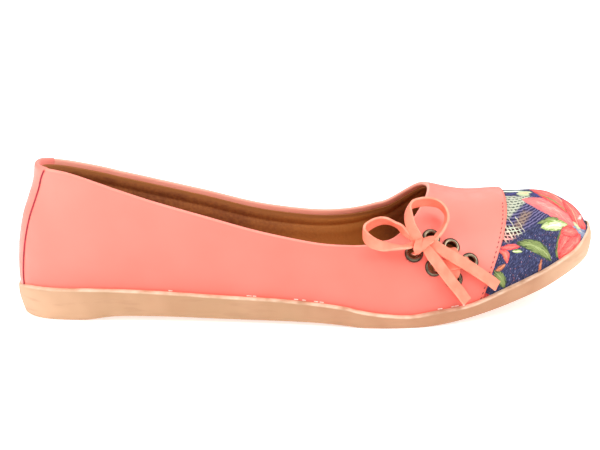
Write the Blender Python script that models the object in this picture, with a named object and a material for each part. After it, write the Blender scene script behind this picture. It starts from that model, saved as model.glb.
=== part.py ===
"""Ballet flat: a woman's right shoe with a cup sole, a lined leather upper, a printed toe cap,
six eyelets on the outer side of the vamp and a flat lace tied in a bow.

The shape functions work in millimetres from the back of the heel: x runs to the toe, y from the
outer side (minus) to the inner side (plus), z up from the floor. mesh_piece() turns them to
metres, with the origin on the floor under the middle of the shoe.
"""
import bpy
import bmesh
import math
import numpy as np
from mathutils import Matrix, Vector

MM = 0.001

# ---------------------------------------------------------------- driving dimensions, millimetres

LENGTH = 252.0              # outsole, heel to toe
HEEL_ROUND = 38.0           # length over which the outline closes at the heel
TOE_ROUND = 30.0            # and at the toe
END_POWER = 2.2             # 2 is an ellipse, more is squarer
SPRING_START = 168.0        # where the sole leaves the floor
TOE_SPRING = 18.4           # lift of the sole's underside at the toe
SPRING_POWER = 2.0
NOSE_LENGTH = 47.8          # length over which the ridge of the toe comes down
NOSE_POWER = 2.4
THROAT = 180.0              # front of the opening, on the ridge
THROAT_START = 158.0        # where the topline starts to turn across the vamp
WALL = 2.2                  # leather and lining
GAP = 0.3                   # between pieces that meet
COLLAR_CROWN = 0.5          # height of the rounded edge of the collar
INSOLE_THICK = 2.4
INSOLE_GAP = 0.5            # under the insole, since it bends less than the bed
SOLE_CORNER = 1.2           # bevel at the sole's lower edge
RIM_ROUND = 0.9             # rounding of the rim's outer edge
TOE_SEAM = 211.0            # the vamp's front edge, on the ridge
TOE_STEP = 1.1              # the upper's surface is that much lower under the toe cap
TOE_CAP_THICK = 0.7
STRIP_HALF = 8.5            # half width of the back strip
STRIP_STEP = 0.7            # depth of its seat in the upper
STRIP_THICK = 0.9
AXIS_END = 14.0             # the middle line of the sole's level faces ends that far from its ends
MIDDLE = -1.56              # y of the middle of the shoe's width

EYELET_HOLE = 2.15          # radii of an eyelet's hole, barrel, outer flange and inner flange
EYELET_BARREL = 2.6
EYELET_FLANGE = 3.85
EYELET_WASHER = 3.4
EYELET_HEIGHT = 0.95        # of the flange above the leather
EYELET_SIDES = 14
LACE_WIDTH = 4.6
LACE_THICK = 1.0
LACE_GAP = 0.5              # between the lace and what it passes
LACE_STEPS = 16             # sections along a stretch of lace


def table(names, *rows):
    """A table with named columns, as arrays."""
    columns = zip(*rows)
    return {name: np.array(column, float) for name, column in zip(names.split(), columns)}


# The outline from above: half widths to each side of an axis that curves to the inner side
OUTLINE = table(
    "x      outer  inner  axis",
    (0.0,   24.6,  25.0,  0.0),
    (38.0,  23.9,  26.0,  0.2),
    (80.0,  28.4,  25.6,  0.1),
    (110.0, 33.7,  27.5,  0.1),
    (140.0, 40.2,  33.0,  -0.2),
    (165.0, 43.1,  38.6,  -0.1),
    (185.0, 42.0,  39.3,  0.8),
    (205.0, 37.4,  35.4,  2.4),
    (225.0, 30.1,  28.5,  4.2),
    (240.0, 24.3,  23.1,  6.3),
    (252.0, 20.6,  19.9,  7.6))

# The sole's height: its underside, its foot bed and its rim above the underside, and how far
# the foot of its side lies inside its widest line
SOLE = table(
    "x      under  bed   rim    undercut",
    (0.0,   0.0,   9.5,  15.4,  3.8),
    (30.0,  0.0,   9.3,  15.2,  3.4),
    (34.0,  0.3,   9.3,  14.9,  3.2),
    (60.0,  1.0,   8.6,  13.8,  2.6),
    (90.0,  1.2,   7.1,  11.9,  2.2),
    (125.0, 0.6,   5.6,  10.2,  2.0),
    (148.0, 0.0,   4.6,  8.3,   1.8),
    (168.0, 0.0,   4.2,  7.7,   1.8),
    (196.0, 0.0,   4.2,  8.6,   2.0),
    (220.0, 0.0,   4.4,  10.2,  2.4),
    (252.0, 0.0,   4.6,  10.4,  3.0))

# Sections of the last above the foot bed: height of the ridge, squareness of each side
# (2 is an ellipse), and how far the ridge lies to the inner side
LAST = table(
    "x      height  outer  inner  ridge",
    (0.0,   98.5,   2.16,  2.16,  0.0),
    (40.0,  98.5,   2.06,  2.06,  0.1),
    (80.0,  91.0,   2.09,  2.09,  0.0),
    (120.0, 70.4,   2.09,  2.19,  1.0),
    (150.0, 50.4,   2.00,  2.15,  2.8),
    (178.0, 45.8,   2.16,  2.38,  4.0),
    (195.0, 40.3,   2.10,  2.23,  4.8),
    (212.0, 37.6,   2.00,  2.12,  5.1),
    (225.0, 35.3,   2.00,  2.01,  5.3),
    (238.0, 32.1,   2.00,  2.01,  5.5),
    (252.0, 28.7,   2.01,  2.00,  7.6))

# Height of the collar on each side, up to where it turns across the vamp
TOPLINE = table(
    "x      outer  inner",
    (0.0,   66.2,  66.2),
    (20.0,  64.2,  61.9),
    (40.0,  59.5,  57.5),
    (80.0,  46.9,  46.7),
    (110.0, 37.5,  38.1),
    (140.0, 33.9,  34.3),
    (158.0, 35.0,  36.8))

# The curve of the heel's back: how far forward it lies at each height
HEEL_CURVE = table(
    "z     forward",
    (0.0,  0.0),
    (14.0, 0.0),
    (24.0, -1.1),
    (35.0, 0.3),
    (45.0, 2.4),
    (55.0, 6.0),
    (65.0, 9.7))
HEEL_CURVE_LENGTH = 45.0    # the curve fades out over this length

# How far inside the rim's outer line the upper stands: the rim's thickness
RIM_THICK = table(
    "x      width",
    (0.0,   2.2),
    (60.0,  2.2),
    (180.0, 2.2),
    (215.0, 2.6),
    (252.0, 2.8))

# The vamp's front edge: how far it lies from TOE_SEAM at each angle up the section, in degrees
SEAM = table(
    "rise   forward",
    (0.0,   -13.0),
    (20.0,  -6.4),
    (32.0,  -2.8),
    (46.0,  0.2),
    (65.0,  1.6),
    (80.0,  0.4),
    (90.0,  0.0))

# The eyelets, on the outer side of the vamp: place along the shoe and height
EYELETS = table(
    "x      z",
    (170.4, 30.3),
    (178.8, 24.6),
    (187.1, 19.2),
    (178.1, 35.6),
    (186.5, 31.6),
    (194.4, 25.4))
LOW_REAR, LOW_MIDDLE, LOW_FRONT, HIGH_REAR, HIGH_MIDDLE, HIGH_FRONT = range(6)

# The bow: the knot's middle, and each free piece's route from it. The last three columns are
# the way that the lace's width points there.
KNOT = (175.6, -36.15, 33.8)
KNOT_FACING = (0.1, -0.85, 0.5)
KNOT_WIDE = 4.2
KNOT_HIGH = 2.3
KNOT_PINCH = 0.6            # share of the lace's width where it leaves the knot
LOOPS = {
    "lace_loop_rear": table(
        "x      y      z     wide_x wide_y wide_z",
        (167.4, -38.1, 35.0, 0.0,   0.0,   1.0),
        (161.0, -37.8, 35.2, 0.0,   0.0,   1.0),
        (154.8, -37.6, 36.9, 0.0,   -0.1,  1.0),
        (151.1, -35.1, 40.0, -0.1,  -0.3,  1.0),
        (152.0, -30.6, 42.6, 0.0,   -0.5,  0.85),
        (156.3, -27.6, 43.6, 0.0,   -0.55, 0.83),
        (161.7, -27.6, 42.6, 0.1,   -0.5,  0.85),
        (167.1, -32.2, 40.5, 0.3,   -0.4,  0.85)),
    "lace_loop_front": table(
        "x      y      z     wide_x wide_y wide_z",
        (171.4, -38.0, 41.6, 0.83,  0.0,   0.55),
        (168.8, -35.1, 45.9, 0.8,   -0.3,  0.5),
        (169.1, -29.6, 49.3, 0.4,   -0.7,  0.55),
        (173.2, -25.6, 51.0, 0.0,   -0.75, 0.65),
        (178.8, -23.6, 50.3, -0.2,  -0.8,  0.5),
        (183.5, -24.1, 47.9, 0.2,   -0.9,  0.2),
        (184.7, -27.1, 44.6, 0.5,   -0.85, 0.0),
        (183.1, -31.1, 41.0, 0.6,   -0.7,  0.3))}
ENDS = {
    "lace_end_lower": table(
        "x      y      z     wide_x wide_y wide_z",
        (179.5, -40.6, 27.8, 0.83,  0.27,  0.49),
        (182.2, -41.3, 24.0, 0.8,   0.33,  0.5),
        (184.8, -40.7, 20.3, 0.77,  0.35,  0.53),
        (187.5, -39.7, 16.2, 0.74,  0.34,  0.58),
        (190.6, -39.1, 12.3, 0.74,  0.34,  0.58)),
    "lace_end_upper": table(
        "x      y      z     wide_x wide_y wide_z",
        (182.9, -37.3, 32.2, 0.44,  0.54,  0.72),
        (186.6, -37.8, 29.7, 0.49,  0.51,  0.71),
        (191.2, -37.5, 26.6, 0.5,   0.47,  0.73),
        (194.6, -36.0, 23.2, 0.5,   0.45,  0.75),
        (198.1, -35.0, 20.3, 0.5,   0.42,  0.77),
        (203.8, -33.2, 15.7, 0.53,  0.35,  0.78))}
STRIP_OVER = 2.75           # height of the crossed strips' middles over the leather
STRIP_UNDER = 1.95

# How many steps the surfaces are made of
STRIP_COLUMNS = 3
HEEL_COLUMNS = 20
THROAT_COLUMNS = 8
VAMP_COLUMNS = 5
TOE_COLUMNS = 11
ROWS = 9


# ---------------------------------------------------------------- the shape of the shoe

def blend(columns, name, x):
    """Read a column along a smooth curve through its rows; level stretches stay level."""
    places = next(iter(columns.values()))
    values = columns[name]
    rise = np.diff(values) / np.diff(places)
    steps = np.diff(places)
    inner = [0.0 if a * b == 0 else (a * after + b * before) / (before + after)
             for a, b, before, after in zip(rise, rise[1:], steps, steps[1:])]
    slopes = [rise[0], *inner, rise[-1]]
    x = min(max(x, places[0]), places[-1])
    i = min(int(np.searchsorted(places, x, side="right")) - 1, len(places) - 2)
    step = places[i + 1] - places[i]
    t = (x - places[i]) / step
    start = (1 + 2 * t) * (1 - t) ** 2 * values[i] + t * (1 - t) ** 2 * step * slopes[i]
    end = t * t * (3 - 2 * t) * values[i + 1] + t * t * (t - 1) * step * slopes[i + 1]
    return start + end


def side_name(side):
    return "outer" if side < 0 else "inner"


def round_off(amount, power):
    """1 where amount is 0, and down to 0 along a round shoulder where amount is 1."""
    return (1 - max(0.0, min(1.0, amount)) ** power) ** (1 / power)


def outline(turn, side):
    """A point of the sole's outline. turn runs from 0 at the heel to pi at the toe, and past
    either end the outline comes back along the other side."""
    if turn < 0 or turn > math.pi:
        turn = -turn if turn < 0 else 2 * math.pi - turn
        side = -side
    x = LENGTH * (1 - math.cos(turn)) / 2
    closing = round_off((HEEL_ROUND - x) / HEEL_ROUND, END_POWER)
    closing *= round_off((x - LENGTH + TOE_ROUND) / TOE_ROUND, END_POWER)
    width = blend(OUTLINE, side_name(side), x) * closing
    return np.array([x, blend(OUTLINE, "axis", x) + side * width])


def inset(x, side, distance):
    """The outline's point at station x, moved inwards square to the outline."""
    turn = math.acos(1 - 2 * x / LENGTH)
    along = outline(turn + 0.01, side) - outline(turn - 0.01, side)
    along /= np.linalg.norm(along)
    inward = side * np.array([along[1], -along[0]])
    return outline(turn, side) + distance * inward


def under(x):
    """Height of the sole's underside."""
    lift = max(0.0, min(1.0, (x - SPRING_START) / (LENGTH - SPRING_START)))
    return blend(SOLE, "under", x) + TOE_SPRING * lift ** SPRING_POWER


def bed(x):
    """Height of the foot bed inside the cup."""
    return under(x) + blend(SOLE, "bed", x)


def rim(x):
    """Height of the top of the rim."""
    return under(x) + blend(SOLE, "rim", x)


def ridge_height(x):
    """Height of the last's ridge above the foot bed."""
    nose = round_off((x - LENGTH + NOSE_LENGTH) / NOSE_LENGTH, NOSE_POWER)
    return blend(LAST, "height", x) * nose


def on_last(x, rise, side):
    """A point of the upper's outer surface: rise is the angle up the section at station x,
    from 0 at the foot bed to 90 degrees at the ridge."""
    feet = [inset(x, s, blend(RIM_THICK, "width", x) + GAP) for s in (-1, 1)]
    foot = feet[0] if side < 0 else feet[1]
    ridge = np.array([(feet[0][0] + feet[1][0]) / 2, blend(LAST, "ridge", x)])
    power = 2 / blend(LAST, side_name(side), x)
    spot = ridge + (foot - ridge) * max(0.0, math.cos(rise)) ** power
    z = bed(spot[0]) + GAP + ridge_height(x) * math.sin(rise) ** power
    fade = max(0.0, 1 - x / HEEL_CURVE_LENGTH)
    return Vector((spot[0] + blend(HEEL_CURVE, "forward", z) * fade, spot[1], z))


def rise_at(x, side, z):
    """The angle up the section at which it is z high."""
    share = max(0.0, min(1.0, (z - bed(x) - GAP) / max(ridge_height(x), 0.01)))
    return math.asin(share ** (blend(LAST, side_name(side), x) / 2))


def top_rise(x, side):
    """The angle up the section at which the upper ends: the collar, or the ridge."""
    if x >= THROAT:
        return math.pi / 2
    back = min(x, THROAT_START)
    rise = rise_at(back, side, blend(TOPLINE, side_name(side), back))
    turn = max(0.0, (x - THROAT_START) / (THROAT - THROAT_START))
    return math.pi / 2 - (math.pi / 2 - rise) * math.sqrt(1 - turn * turn)


def heel_station(half_width):
    """The station near the heel where the outline is half_width off its axis."""
    closing = half_width / blend(OUTLINE, "outer", 0)
    return HEEL_ROUND * (1 - (1 - closing ** END_POWER) ** (1 / END_POWER))


def stations():
    """Stations from heel to toe, close together where the shape turns. Returned with the index
    of the strip's edge, of the throat and of the vamp's front edge."""
    places = [heel_station(STRIP_HALF * i / STRIP_COLUMNS) for i in range(STRIP_COLUMNS + 1)]
    strip_edge = len(places) - 1
    places.append(heel_station(STRIP_HALF + GAP))
    first = math.acos(1 - heel_station(STRIP_HALF + 2 * GAP) / THROAT_START)
    for i in range(HEEL_COLUMNS):
        turn = first + (math.pi / 2 - first) * i / HEEL_COLUMNS
        places.append(THROAT_START * (1 - math.cos(turn)))
    for i in range(THROAT_COLUMNS):
        turn = math.pi / 2 * i / THROAT_COLUMNS
        places.append(THROAT_START + (THROAT - THROAT_START) * math.sin(turn))
    throat = len(places)
    places += [THROAT + (TOE_SEAM - THROAT) * i / VAMP_COLUMNS for i in range(VAMP_COLUMNS + 1)]
    seam = len(places) - 1
    places.append(TOE_SEAM + GAP)
    start = TOE_SEAM + 2 * GAP
    for i in range(TOE_COLUMNS + 1):
        places.append(start + (LENGTH - start) * math.sin(math.pi / 2 * i / TOE_COLUMNS))
    return places, strip_edge, throat, seam


STATIONS, STRIP_EDGE, THROAT_COLUMN, SEAM_COLUMN = stations()
LAST_COLUMN = len(STATIONS) - 1


# ---------------------------------------------------------------- making meshes

def spot(side, i, j):
    """One name for a point that both sides share: on the heel line, the ridge and the toe."""
    if i == LAST_COLUMN:
        return (0, i, 0)
    if i == 0 or (j == ROWS and i >= THROAT_COLUMN):
        return (0, i, j)
    return (side, i, j)


def row_rise(x, side, row):
    """The angle up the section of a row: 0 is at the foot bed, 1 just above the rim."""
    top = top_rise(x, side)
    if row == 0:
        return 0.0
    above_rim = min(rise_at(x, side, rim(x) + GAP), top * 0.5)
    return above_rim + (top - above_rim) * (row - 1) / (ROWS - 1)


def place(side, i, j):
    """A point of the last's grid, with the columns by the toe bent along the vamp's edge."""
    x = STATIONS[i]
    rise = row_rise(x, side, j)
    if x > THROAT:
        behind = (x - THROAT) / (TOE_SEAM - THROAT)
        ahead = (LENGTH - x) / (LENGTH - TOE_SEAM)
        x += blend(SEAM, "forward", math.degrees(rise)) * min(behind, ahead)
        rise = row_rise(x, side, j)
    return on_last(x, rise, side)


def cells(first, last, low=0, high=ROWS):
    """The four corners of each square of the grid between two columns and two rows."""
    for side in (-1, 1):
        for i in range(first, last):
            for j in range(low, high):
                corners = [(i, j), (i + 1, j), (i + 1, j + 1), (i, j + 1)]
                yield [spot(side, *corner) for corner in corners][::-side]


def add_faces(bm, verts, corner_lists, flip=False):
    """Add faces by the names of their corners, without repeating a shared corner."""
    for names in corner_lists:
        names = list(dict.fromkeys(names))
        if len(names) < 3:
            continue
        if flip:
            names.reverse()
        bm.faces.new([verts[name] for name in names])


def last_grid():
    """The points of the last and the way that its surface faces at each."""
    names = dict.fromkeys(name for corners in cells(0, LAST_COLUMN) for name in corners)
    points = {name: place(name[0] or -1, name[1], name[2]) for name in names}
    bm = bmesh.new()
    verts = {name: bm.verts.new(point) for name, point in points.items()}
    add_faces(bm, verts, cells(0, LAST_COLUMN))
    bm.normal_update()
    normals = {name: vert.normal.copy() for name, vert in verts.items()}
    bm.free()
    for name, normal in normals.items():
        if name[2] == 0:
            normal.z = 0
            normal.normalize()
    return points, normals


POINTS, NORMALS = last_grid()


def shell(first, last, low, high, outer_depth, inner_depth, crown=0.0):
    """A closed wall between two depths under the last's surface. The depths are functions of
    the column. crown raises the middle of the collar's edge."""
    bm = bmesh.new()
    squares = list(cells(first, last, low, high))
    names = dict.fromkeys(name for corners in squares for name in corners)

    def skin(depth):
        return {name: bm.verts.new(POINTS[name] - NORMALS[name] * depth(name[1])) for name in names}

    outside = skin(outer_depth)
    inside = skin(inner_depth)
    add_faces(bm, outside, squares)
    edges = [edge for edge in bm.edges if len(edge.link_faces) == 1]
    pair = {outside[name]: (inside[name], name) for name in names}
    middles = {}

    def middle(vert):
        if vert not in middles:
            other, name = pair[vert]
            on_collar = name[2] == high == ROWS and name[1] <= THROAT_COLUMN
            lift = Vector((0, 0, crown if on_collar else 0))
            middles[vert] = bm.verts.new((vert.co + other.co) / 2 + lift)
        return middles[vert]

    add_faces(bm, inside, squares, flip=True)
    for edge in edges:
        a, b = edge.verts
        if crown and all(pair[v][1][2] == ROWS for v in (a, b)):
            bm.faces.new((a, b, middle(b), middle(a)))
            bm.faces.new((middle(a), middle(b), pair[b][0], pair[a][0]))
        else:
            bm.faces.new((a, b, pair[b][0], pair[a][0]))
    bmesh.ops.recalc_face_normals(bm, faces=bm.faces)
    return bm


def loft(profile):
    """A closed piece between the heel and the toe: profile gives the points of one side's
    section at a station, from the axis below round to the axis above."""
    bm = bmesh.new()
    verts = {}
    count = len(profile(0.0, 1))

    def vert(side, i, k):
        if i in (0, LAST_COLUMN) or k in (0, count - 1):
            side = 0
        name = (side, i, k)
        if name not in verts:
            verts[name] = bm.verts.new(profile(STATIONS[i], side or -1)[k])
        return verts[name]

    for side in (-1, 1):
        for i in range(LAST_COLUMN):
            for k in range(count - 1):
                corners = (vert(side, i, k), vert(side, i + 1, k),
                           vert(side, i + 1, k + 1), vert(side, i, k + 1))
                bm.faces.new(list(dict.fromkeys(corners))[::-side])
    bmesh.ops.recalc_face_normals(bm, faces=bm.faces)
    return bm


def material(name, colour, roughness, metallic=0.0):
    """A Principled material from an sRGB colour."""
    linear = [((c + 0.055) / 1.055) ** 2.4 if c > 0.04045 else c / 12.92 for c in colour]
    made = bpy.data.materials.new(name)
    made.use_nodes = True
    shader = made.node_tree.nodes["Principled BSDF"]
    shader.inputs["Base Color"].default_value = (*linear, 1)
    shader.inputs["Roughness"].default_value = roughness
    shader.inputs["Metallic"].default_value = metallic
    return made


def mesh_piece(name, bm, finish, sharp=40):
    """Turn a bmesh in millimetres into an object in metres, shaded smooth."""
    for vert in bm.verts:
        vert.co = (vert.co - Vector((LENGTH / 2, MIDDLE, 0))) * MM
    mesh = bpy.data.meshes.new(name)
    bm.to_mesh(mesh)
    bm.free()
    mesh.materials.append(finish)
    mesh.shade_smooth()
    mesh.set_sharp_from_angle(angle=math.radians(sharp))
    piece = bpy.data.objects.new(name, mesh)
    bpy.context.collection.objects.link(piece)
    return piece


# ---------------------------------------------------------------- the pieces

def sole_profile(x, side):
    """A side's section of the cup sole, from under its middle, up its side and over the rim to
    the middle of the foot bed."""
    undercut = blend(SOLE, "undercut", x)
    thick = blend(RIM_THICK, "width", x)
    height = blend(SOLE, "rim", x)

    def at(distance, above):
        x_there, y = inset(x, side, distance)
        return Vector((x_there, y, under(x_there) + above))

    def axis(height_at):
        x_there = AXIS_END + x * (LENGTH - 2 * AXIS_END) / LENGTH
        return Vector((x_there, blend(OUTLINE, "axis", x_there), height_at(x_there)))

    points = [axis(under)]
    points.append(at(undercut + SOLE_CORNER, 0))
    points.append(at(undercut * 0.85, SOLE_CORNER))
    points.append(at(undercut * 0.35, height * 0.55))
    points.append(at(0.0, height - 2 * RIM_ROUND))
    points.append(at(RIM_ROUND * 0.3, height - RIM_ROUND * 0.5))
    points.append(at(RIM_ROUND, height))
    points.append(at(thick, height))
    foot = at(thick, 0)
    points.append(Vector((foot.x, foot.y, bed(foot.x))))
    points.append(axis(bed))
    return points


def insole_profile(x, side):
    """A side's section of the insole, which lies in the cup between the upper's walls."""
    edge_x, edge_y = inset(x, side, blend(RIM_THICK, "width", x) + GAP + WALL + 2 * GAP)
    mid_x = AXIS_END + x * (LENGTH - 2 * AXIS_END) / LENGTH
    mid_y = blend(OUTLINE, "axis", mid_x)
    low = INSOLE_GAP
    high = INSOLE_GAP + INSOLE_THICK
    points = [Vector((mid_x, mid_y, bed(mid_x) + low)), Vector((edge_x, edge_y, bed(edge_x) + low))]
    points.append(Vector((edge_x, edge_y, bed(edge_x) + high)))
    points.append(Vector((mid_x, mid_y, bed(mid_x) + high)))
    return points


def on_outer_side(x, z):
    """The point of the upper's outer side at a place along the shoe and a height, and the way
    that the surface faces there."""
    rise = rise_at(x, -1, z)
    along = on_last(x + 1, rise_at(x + 1, -1, z), -1) - on_last(x - 1, rise_at(x - 1, -1, z), -1)
    up = on_last(x, rise + 0.02, -1) - on_last(x, rise - 0.02, -1)
    return on_last(x, rise, -1), along.cross(up).normalized()


def eyelet_place(number):
    return on_outer_side(EYELETS["x"][number], EYELETS["z"][number])


def stand(bm, point, facing):
    """Move what was made about the origin along +Z to a point on a surface that faces that way."""
    turn = facing.to_track_quat("Z", "Y").to_matrix().to_4x4()
    bmesh.ops.transform(bm, matrix=Matrix.Translation(point) @ turn, verts=bm.verts)


def eyelet(number):
    """A ring whose flange lies on the leather and whose barrel is rolled over inside."""
    bm = bmesh.new()
    profile = [
        (EYELET_HOLE, -WALL - 1.1),
        (EYELET_HOLE, EYELET_HEIGHT - 0.45),
        (EYELET_HOLE + 0.4, EYELET_HEIGHT),
        (EYELET_FLANGE - 0.6, EYELET_HEIGHT),
        (EYELET_FLANGE, EYELET_HEIGHT - 0.35),
        (EYELET_FLANGE, GAP),
        (EYELET_BARREL, GAP),
        (EYELET_BARREL, -WALL - 0.65),
        (EYELET_WASHER, -WALL - 0.65),
        (EYELET_WASHER, -WALL - 1.1)]
    verts = [bm.verts.new((radius, 0, height)) for radius, height in profile]
    edges = [bm.edges.new((a, b)) for a, b in zip(verts, verts[1:] + verts[:1])]
    bmesh.ops.spin(bm, geom=verts + edges, cent=(0, 0, 0), axis=(0, 0, 1), angle=2 * math.pi,
                   steps=EYELET_SIDES, use_merge=True)
    bmesh.ops.recalc_face_normals(bm, faces=bm.faces)
    stand(bm, *eyelet_place(number))
    return bm


def eyelet_holes():
    """A pin through the upper at each eyelet, a gap wider than the eyelet's barrel."""
    holes = bmesh.new()
    for number in range(len(EYELETS["x"])):
        pin = bmesh.new()
        bmesh.ops.create_cone(pin, cap_ends=True, segments=EYELET_SIDES, depth=3 * WALL,
                              radius1=EYELET_BARREL + GAP, radius2=EYELET_BARREL + GAP)
        point, facing = eyelet_place(number)
        stand(pin, point - facing * WALL / 2, facing)
        mesh = bpy.data.meshes.new("pin")
        pin.to_mesh(mesh)
        pin.free()
        holes.from_mesh(mesh)
        bpy.data.meshes.remove(mesh)
    return holes


def smooth_route(points, count):
    """Points along a smooth curve through a route's own points, as rows of an array."""
    ends = [2 * points[0] - points[1], *points, 2 * points[-1] - points[-2]]
    route = []
    for i in range(count + 1):
        along = (len(points) - 1) * i / count
        k = min(int(along), len(points) - 2)
        t = along - k
        before, start, end, after = ends[k:k + 4]
        route.append(0.5 * (2 * start + (end - before) * t
                            + (2 * before - 5 * start + 4 * end - after) * t * t
                            + (3 * start - before - 3 * end + after) * t ** 3))
    return route


def ribbon(rows, count=LACE_STEPS):
    """Sweep the lace's flat section along a route. Each row is a point and the way that the
    lace's width points there, as long as its share of the lace's width."""
    bm = bmesh.new()
    route = smooth_route([np.array(row, float) for row in rows], count)
    points = [Vector(row[:3]) for row in route]
    rings = []
    for i, point in enumerate(points):
        along = (points[min(i + 1, count)] - points[max(i - 1, 0)]).normalized()
        across = Vector(route[i][3:])
        wide = (across - along * across.dot(along)).normalized() * across.length * LACE_WIDTH / 2
        high = along.cross(wide).normalized() * LACE_THICK / 2
        rings.append([bm.verts.new(point + wide * a + high * b)
                      for a, b in ((1, 1), (-1, 1), (-1, -1), (1, -1))])
    for ring, after in zip(rings, rings[1:]):
        for k in range(4):
            bm.faces.new((ring[k], ring[(k + 1) % 4], after[(k + 1) % 4], after[k]))
    bm.faces.new(rings[0][::-1])
    bm.faces.new(rings[-1])
    bmesh.ops.recalc_face_normals(bm, faces=bm.faces)
    return bm


def crossed_strip(first, last, middle_height):
    """A strip of lace over the leather from one eyelet to another."""
    height = EYELET_HEIGHT + LACE_GAP + LACE_THICK / 2
    start, start_facing = eyelet_place(first)
    end, end_facing = eyelet_place(last)
    halfway = (start + end) / 2
    middle, middle_facing = on_outer_side(halfway.x, halfway.z)
    spots = ((start, start_facing, height), (middle, middle_facing, middle_height),
             (end, end_facing, height))
    return ribbon([(*(point + facing * up), *facing.cross(end - start).normalized())
                   for point, facing, up in spots])


def knot():
    bm = bmesh.new()
    bmesh.ops.create_uvsphere(bm, u_segments=12, v_segments=8, radius=1)
    bmesh.ops.scale(bm, vec=(KNOT_WIDE, KNOT_WIDE, KNOT_HIGH), verts=bm.verts)
    stand(bm, Vector(KNOT), Vector(KNOT_FACING).normalized())
    return bm


def free_lace(columns, returns=False):
    """A free piece of lace that leaves the knot, and returns to it if it is a loop."""
    middle = Vector(KNOT)
    facing = Vector(KNOT_FACING).normalized()
    rows = [(*row[:3], *Vector(row[3:]).normalized()) for row in zip(*columns.values())]

    def by_knot(row):
        way = (Vector(row[:3]) - middle).normalized()
        up = way.dot(facing)
        reach = 1 / math.sqrt((1 - up * up) / KNOT_WIDE ** 2 + up * up / KNOT_HIGH ** 2)
        return (*(middle + way * (reach + LACE_GAP)), *(Vector(row[3:]) * KNOT_PINCH))

    last = [by_knot(rows[-1])] if returns else []
    return ribbon([by_knot(rows[0]), *rows, *last], LACE_STEPS * (2 if returns else 1))


def upper_depth(column):
    """The upper's surface is lower in the strip's seat and under the toe cap."""
    if column <= STRIP_EDGE + 1:
        return STRIP_STEP
    return TOE_STEP if column > SEAM_COLUMN else 0.0


def cut_with(piece, name, bm, finish, operation):
    """Cut a piece with another shape, or join the two, by an exact Boolean."""
    tool = mesh_piece(name, bm, finish)
    tool.hide_render = True
    tool.display_type = "WIRE"
    change = piece.modifiers.new(name, "BOOLEAN")
    change.operation = operation
    change.solver = "EXACT"
    change.object = tool


def make_sole(rubber, board):
    mesh_piece("outsole", loft(sole_profile), rubber)
    mesh_piece("insole", loft(insole_profile), board)


def make_upper(leather, cloth):
    wall = shell(0, LAST_COLUMN, 0, ROWS, upper_depth, lambda column: WALL, crown=COLLAR_CROWN)
    upper = mesh_piece("upper", wall, leather)
    cut_with(upper, "eyelet_holes", eyelet_holes(), leather, "DIFFERENCE")
    low = TOE_STEP - GAP
    cap = shell(SEAM_COLUMN + 2, LAST_COLUMN, 0, ROWS,
                lambda column: low - TOE_CAP_THICK, lambda column: low)
    mesh_piece("toe_cap", cap, cloth)
    seat = STRIP_STEP - GAP
    strip = shell(0, STRIP_EDGE, 1, ROWS, lambda column: seat - STRIP_THICK, lambda column: seat)
    mesh_piece("back_strip", strip, leather)


def make_lace(metal, lace):
    for number in range(len(EYELETS["x"])):
        mesh_piece(f"eyelet_{number + 1}", eyelet(number), metal)
    over = crossed_strip(LOW_MIDDLE, HIGH_FRONT, STRIP_OVER)
    under = crossed_strip(LOW_FRONT, HIGH_MIDDLE, STRIP_UNDER)
    crossing = mesh_piece("lace_crossing", over, lace)
    cut_with(crossing, "lace_under", under, lace, "UNION")
    mesh_piece("lace_knot", knot(), lace)
    for name, columns in LOOPS.items():
        mesh_piece(name, free_lace(columns, returns=True), lace)
    for name, columns in ENDS.items():
        mesh_piece(name, free_lace(columns), lace)


def build():
    for thing in list(bpy.data.objects):
        bpy.data.objects.remove(thing)
    rubber = material("tan rubber", (0.93, 0.73, 0.58), 0.6)
    board = material("brown lining", (0.62, 0.40, 0.20), 0.8)
    leather = material("coral leather", (1.0, 0.58, 0.52), 0.5)
    cloth = material("printed cloth", (0.24, 0.25, 0.42), 0.85)
    metal = material("aged nickel", (0.55, 0.52, 0.45), 0.35, 1.0)
    lace = material("peach lace", (1.0, 0.64, 0.52), 0.6)
    make_sole(rubber, board)
    make_upper(leather, cloth)
    make_lace(metal, lace)


build()
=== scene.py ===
# %% [markdown]
# # A ballet flat, dressed over its solid model
# The solids of the shoe come from the CAD model: sole, insole, upper, toe cap, back strip,
# eyelets and lace. This lesson gives them leather, cloth, rubber and metal. Each step first says
# what the piece is on a real shoe and then how it is made here.

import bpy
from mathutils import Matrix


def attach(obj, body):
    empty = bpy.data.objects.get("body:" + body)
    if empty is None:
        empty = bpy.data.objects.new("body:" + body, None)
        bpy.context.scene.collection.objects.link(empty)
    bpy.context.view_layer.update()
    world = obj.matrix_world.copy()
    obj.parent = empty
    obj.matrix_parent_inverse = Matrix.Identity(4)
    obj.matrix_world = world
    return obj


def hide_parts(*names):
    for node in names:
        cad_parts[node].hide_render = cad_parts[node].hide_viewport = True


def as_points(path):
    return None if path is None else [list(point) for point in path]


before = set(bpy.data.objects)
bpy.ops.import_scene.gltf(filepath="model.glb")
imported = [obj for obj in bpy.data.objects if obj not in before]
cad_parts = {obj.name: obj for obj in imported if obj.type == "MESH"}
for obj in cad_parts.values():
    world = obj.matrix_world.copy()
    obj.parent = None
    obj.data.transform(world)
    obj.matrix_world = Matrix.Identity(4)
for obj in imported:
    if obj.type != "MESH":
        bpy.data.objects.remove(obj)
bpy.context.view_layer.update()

import functools
import math
import bpy
import bmesh
import numpy as np
from mathutils import Matrix, Vector

# %% [markdown]
# Shoemakers measure from the back of the heel, in millimetres: x to the toe, y to the outer side
# (minus) or the inner side (plus), z up from the floor. Every piece below is made in those
# measures, and turned to the frame's metres when it is finished.

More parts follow.
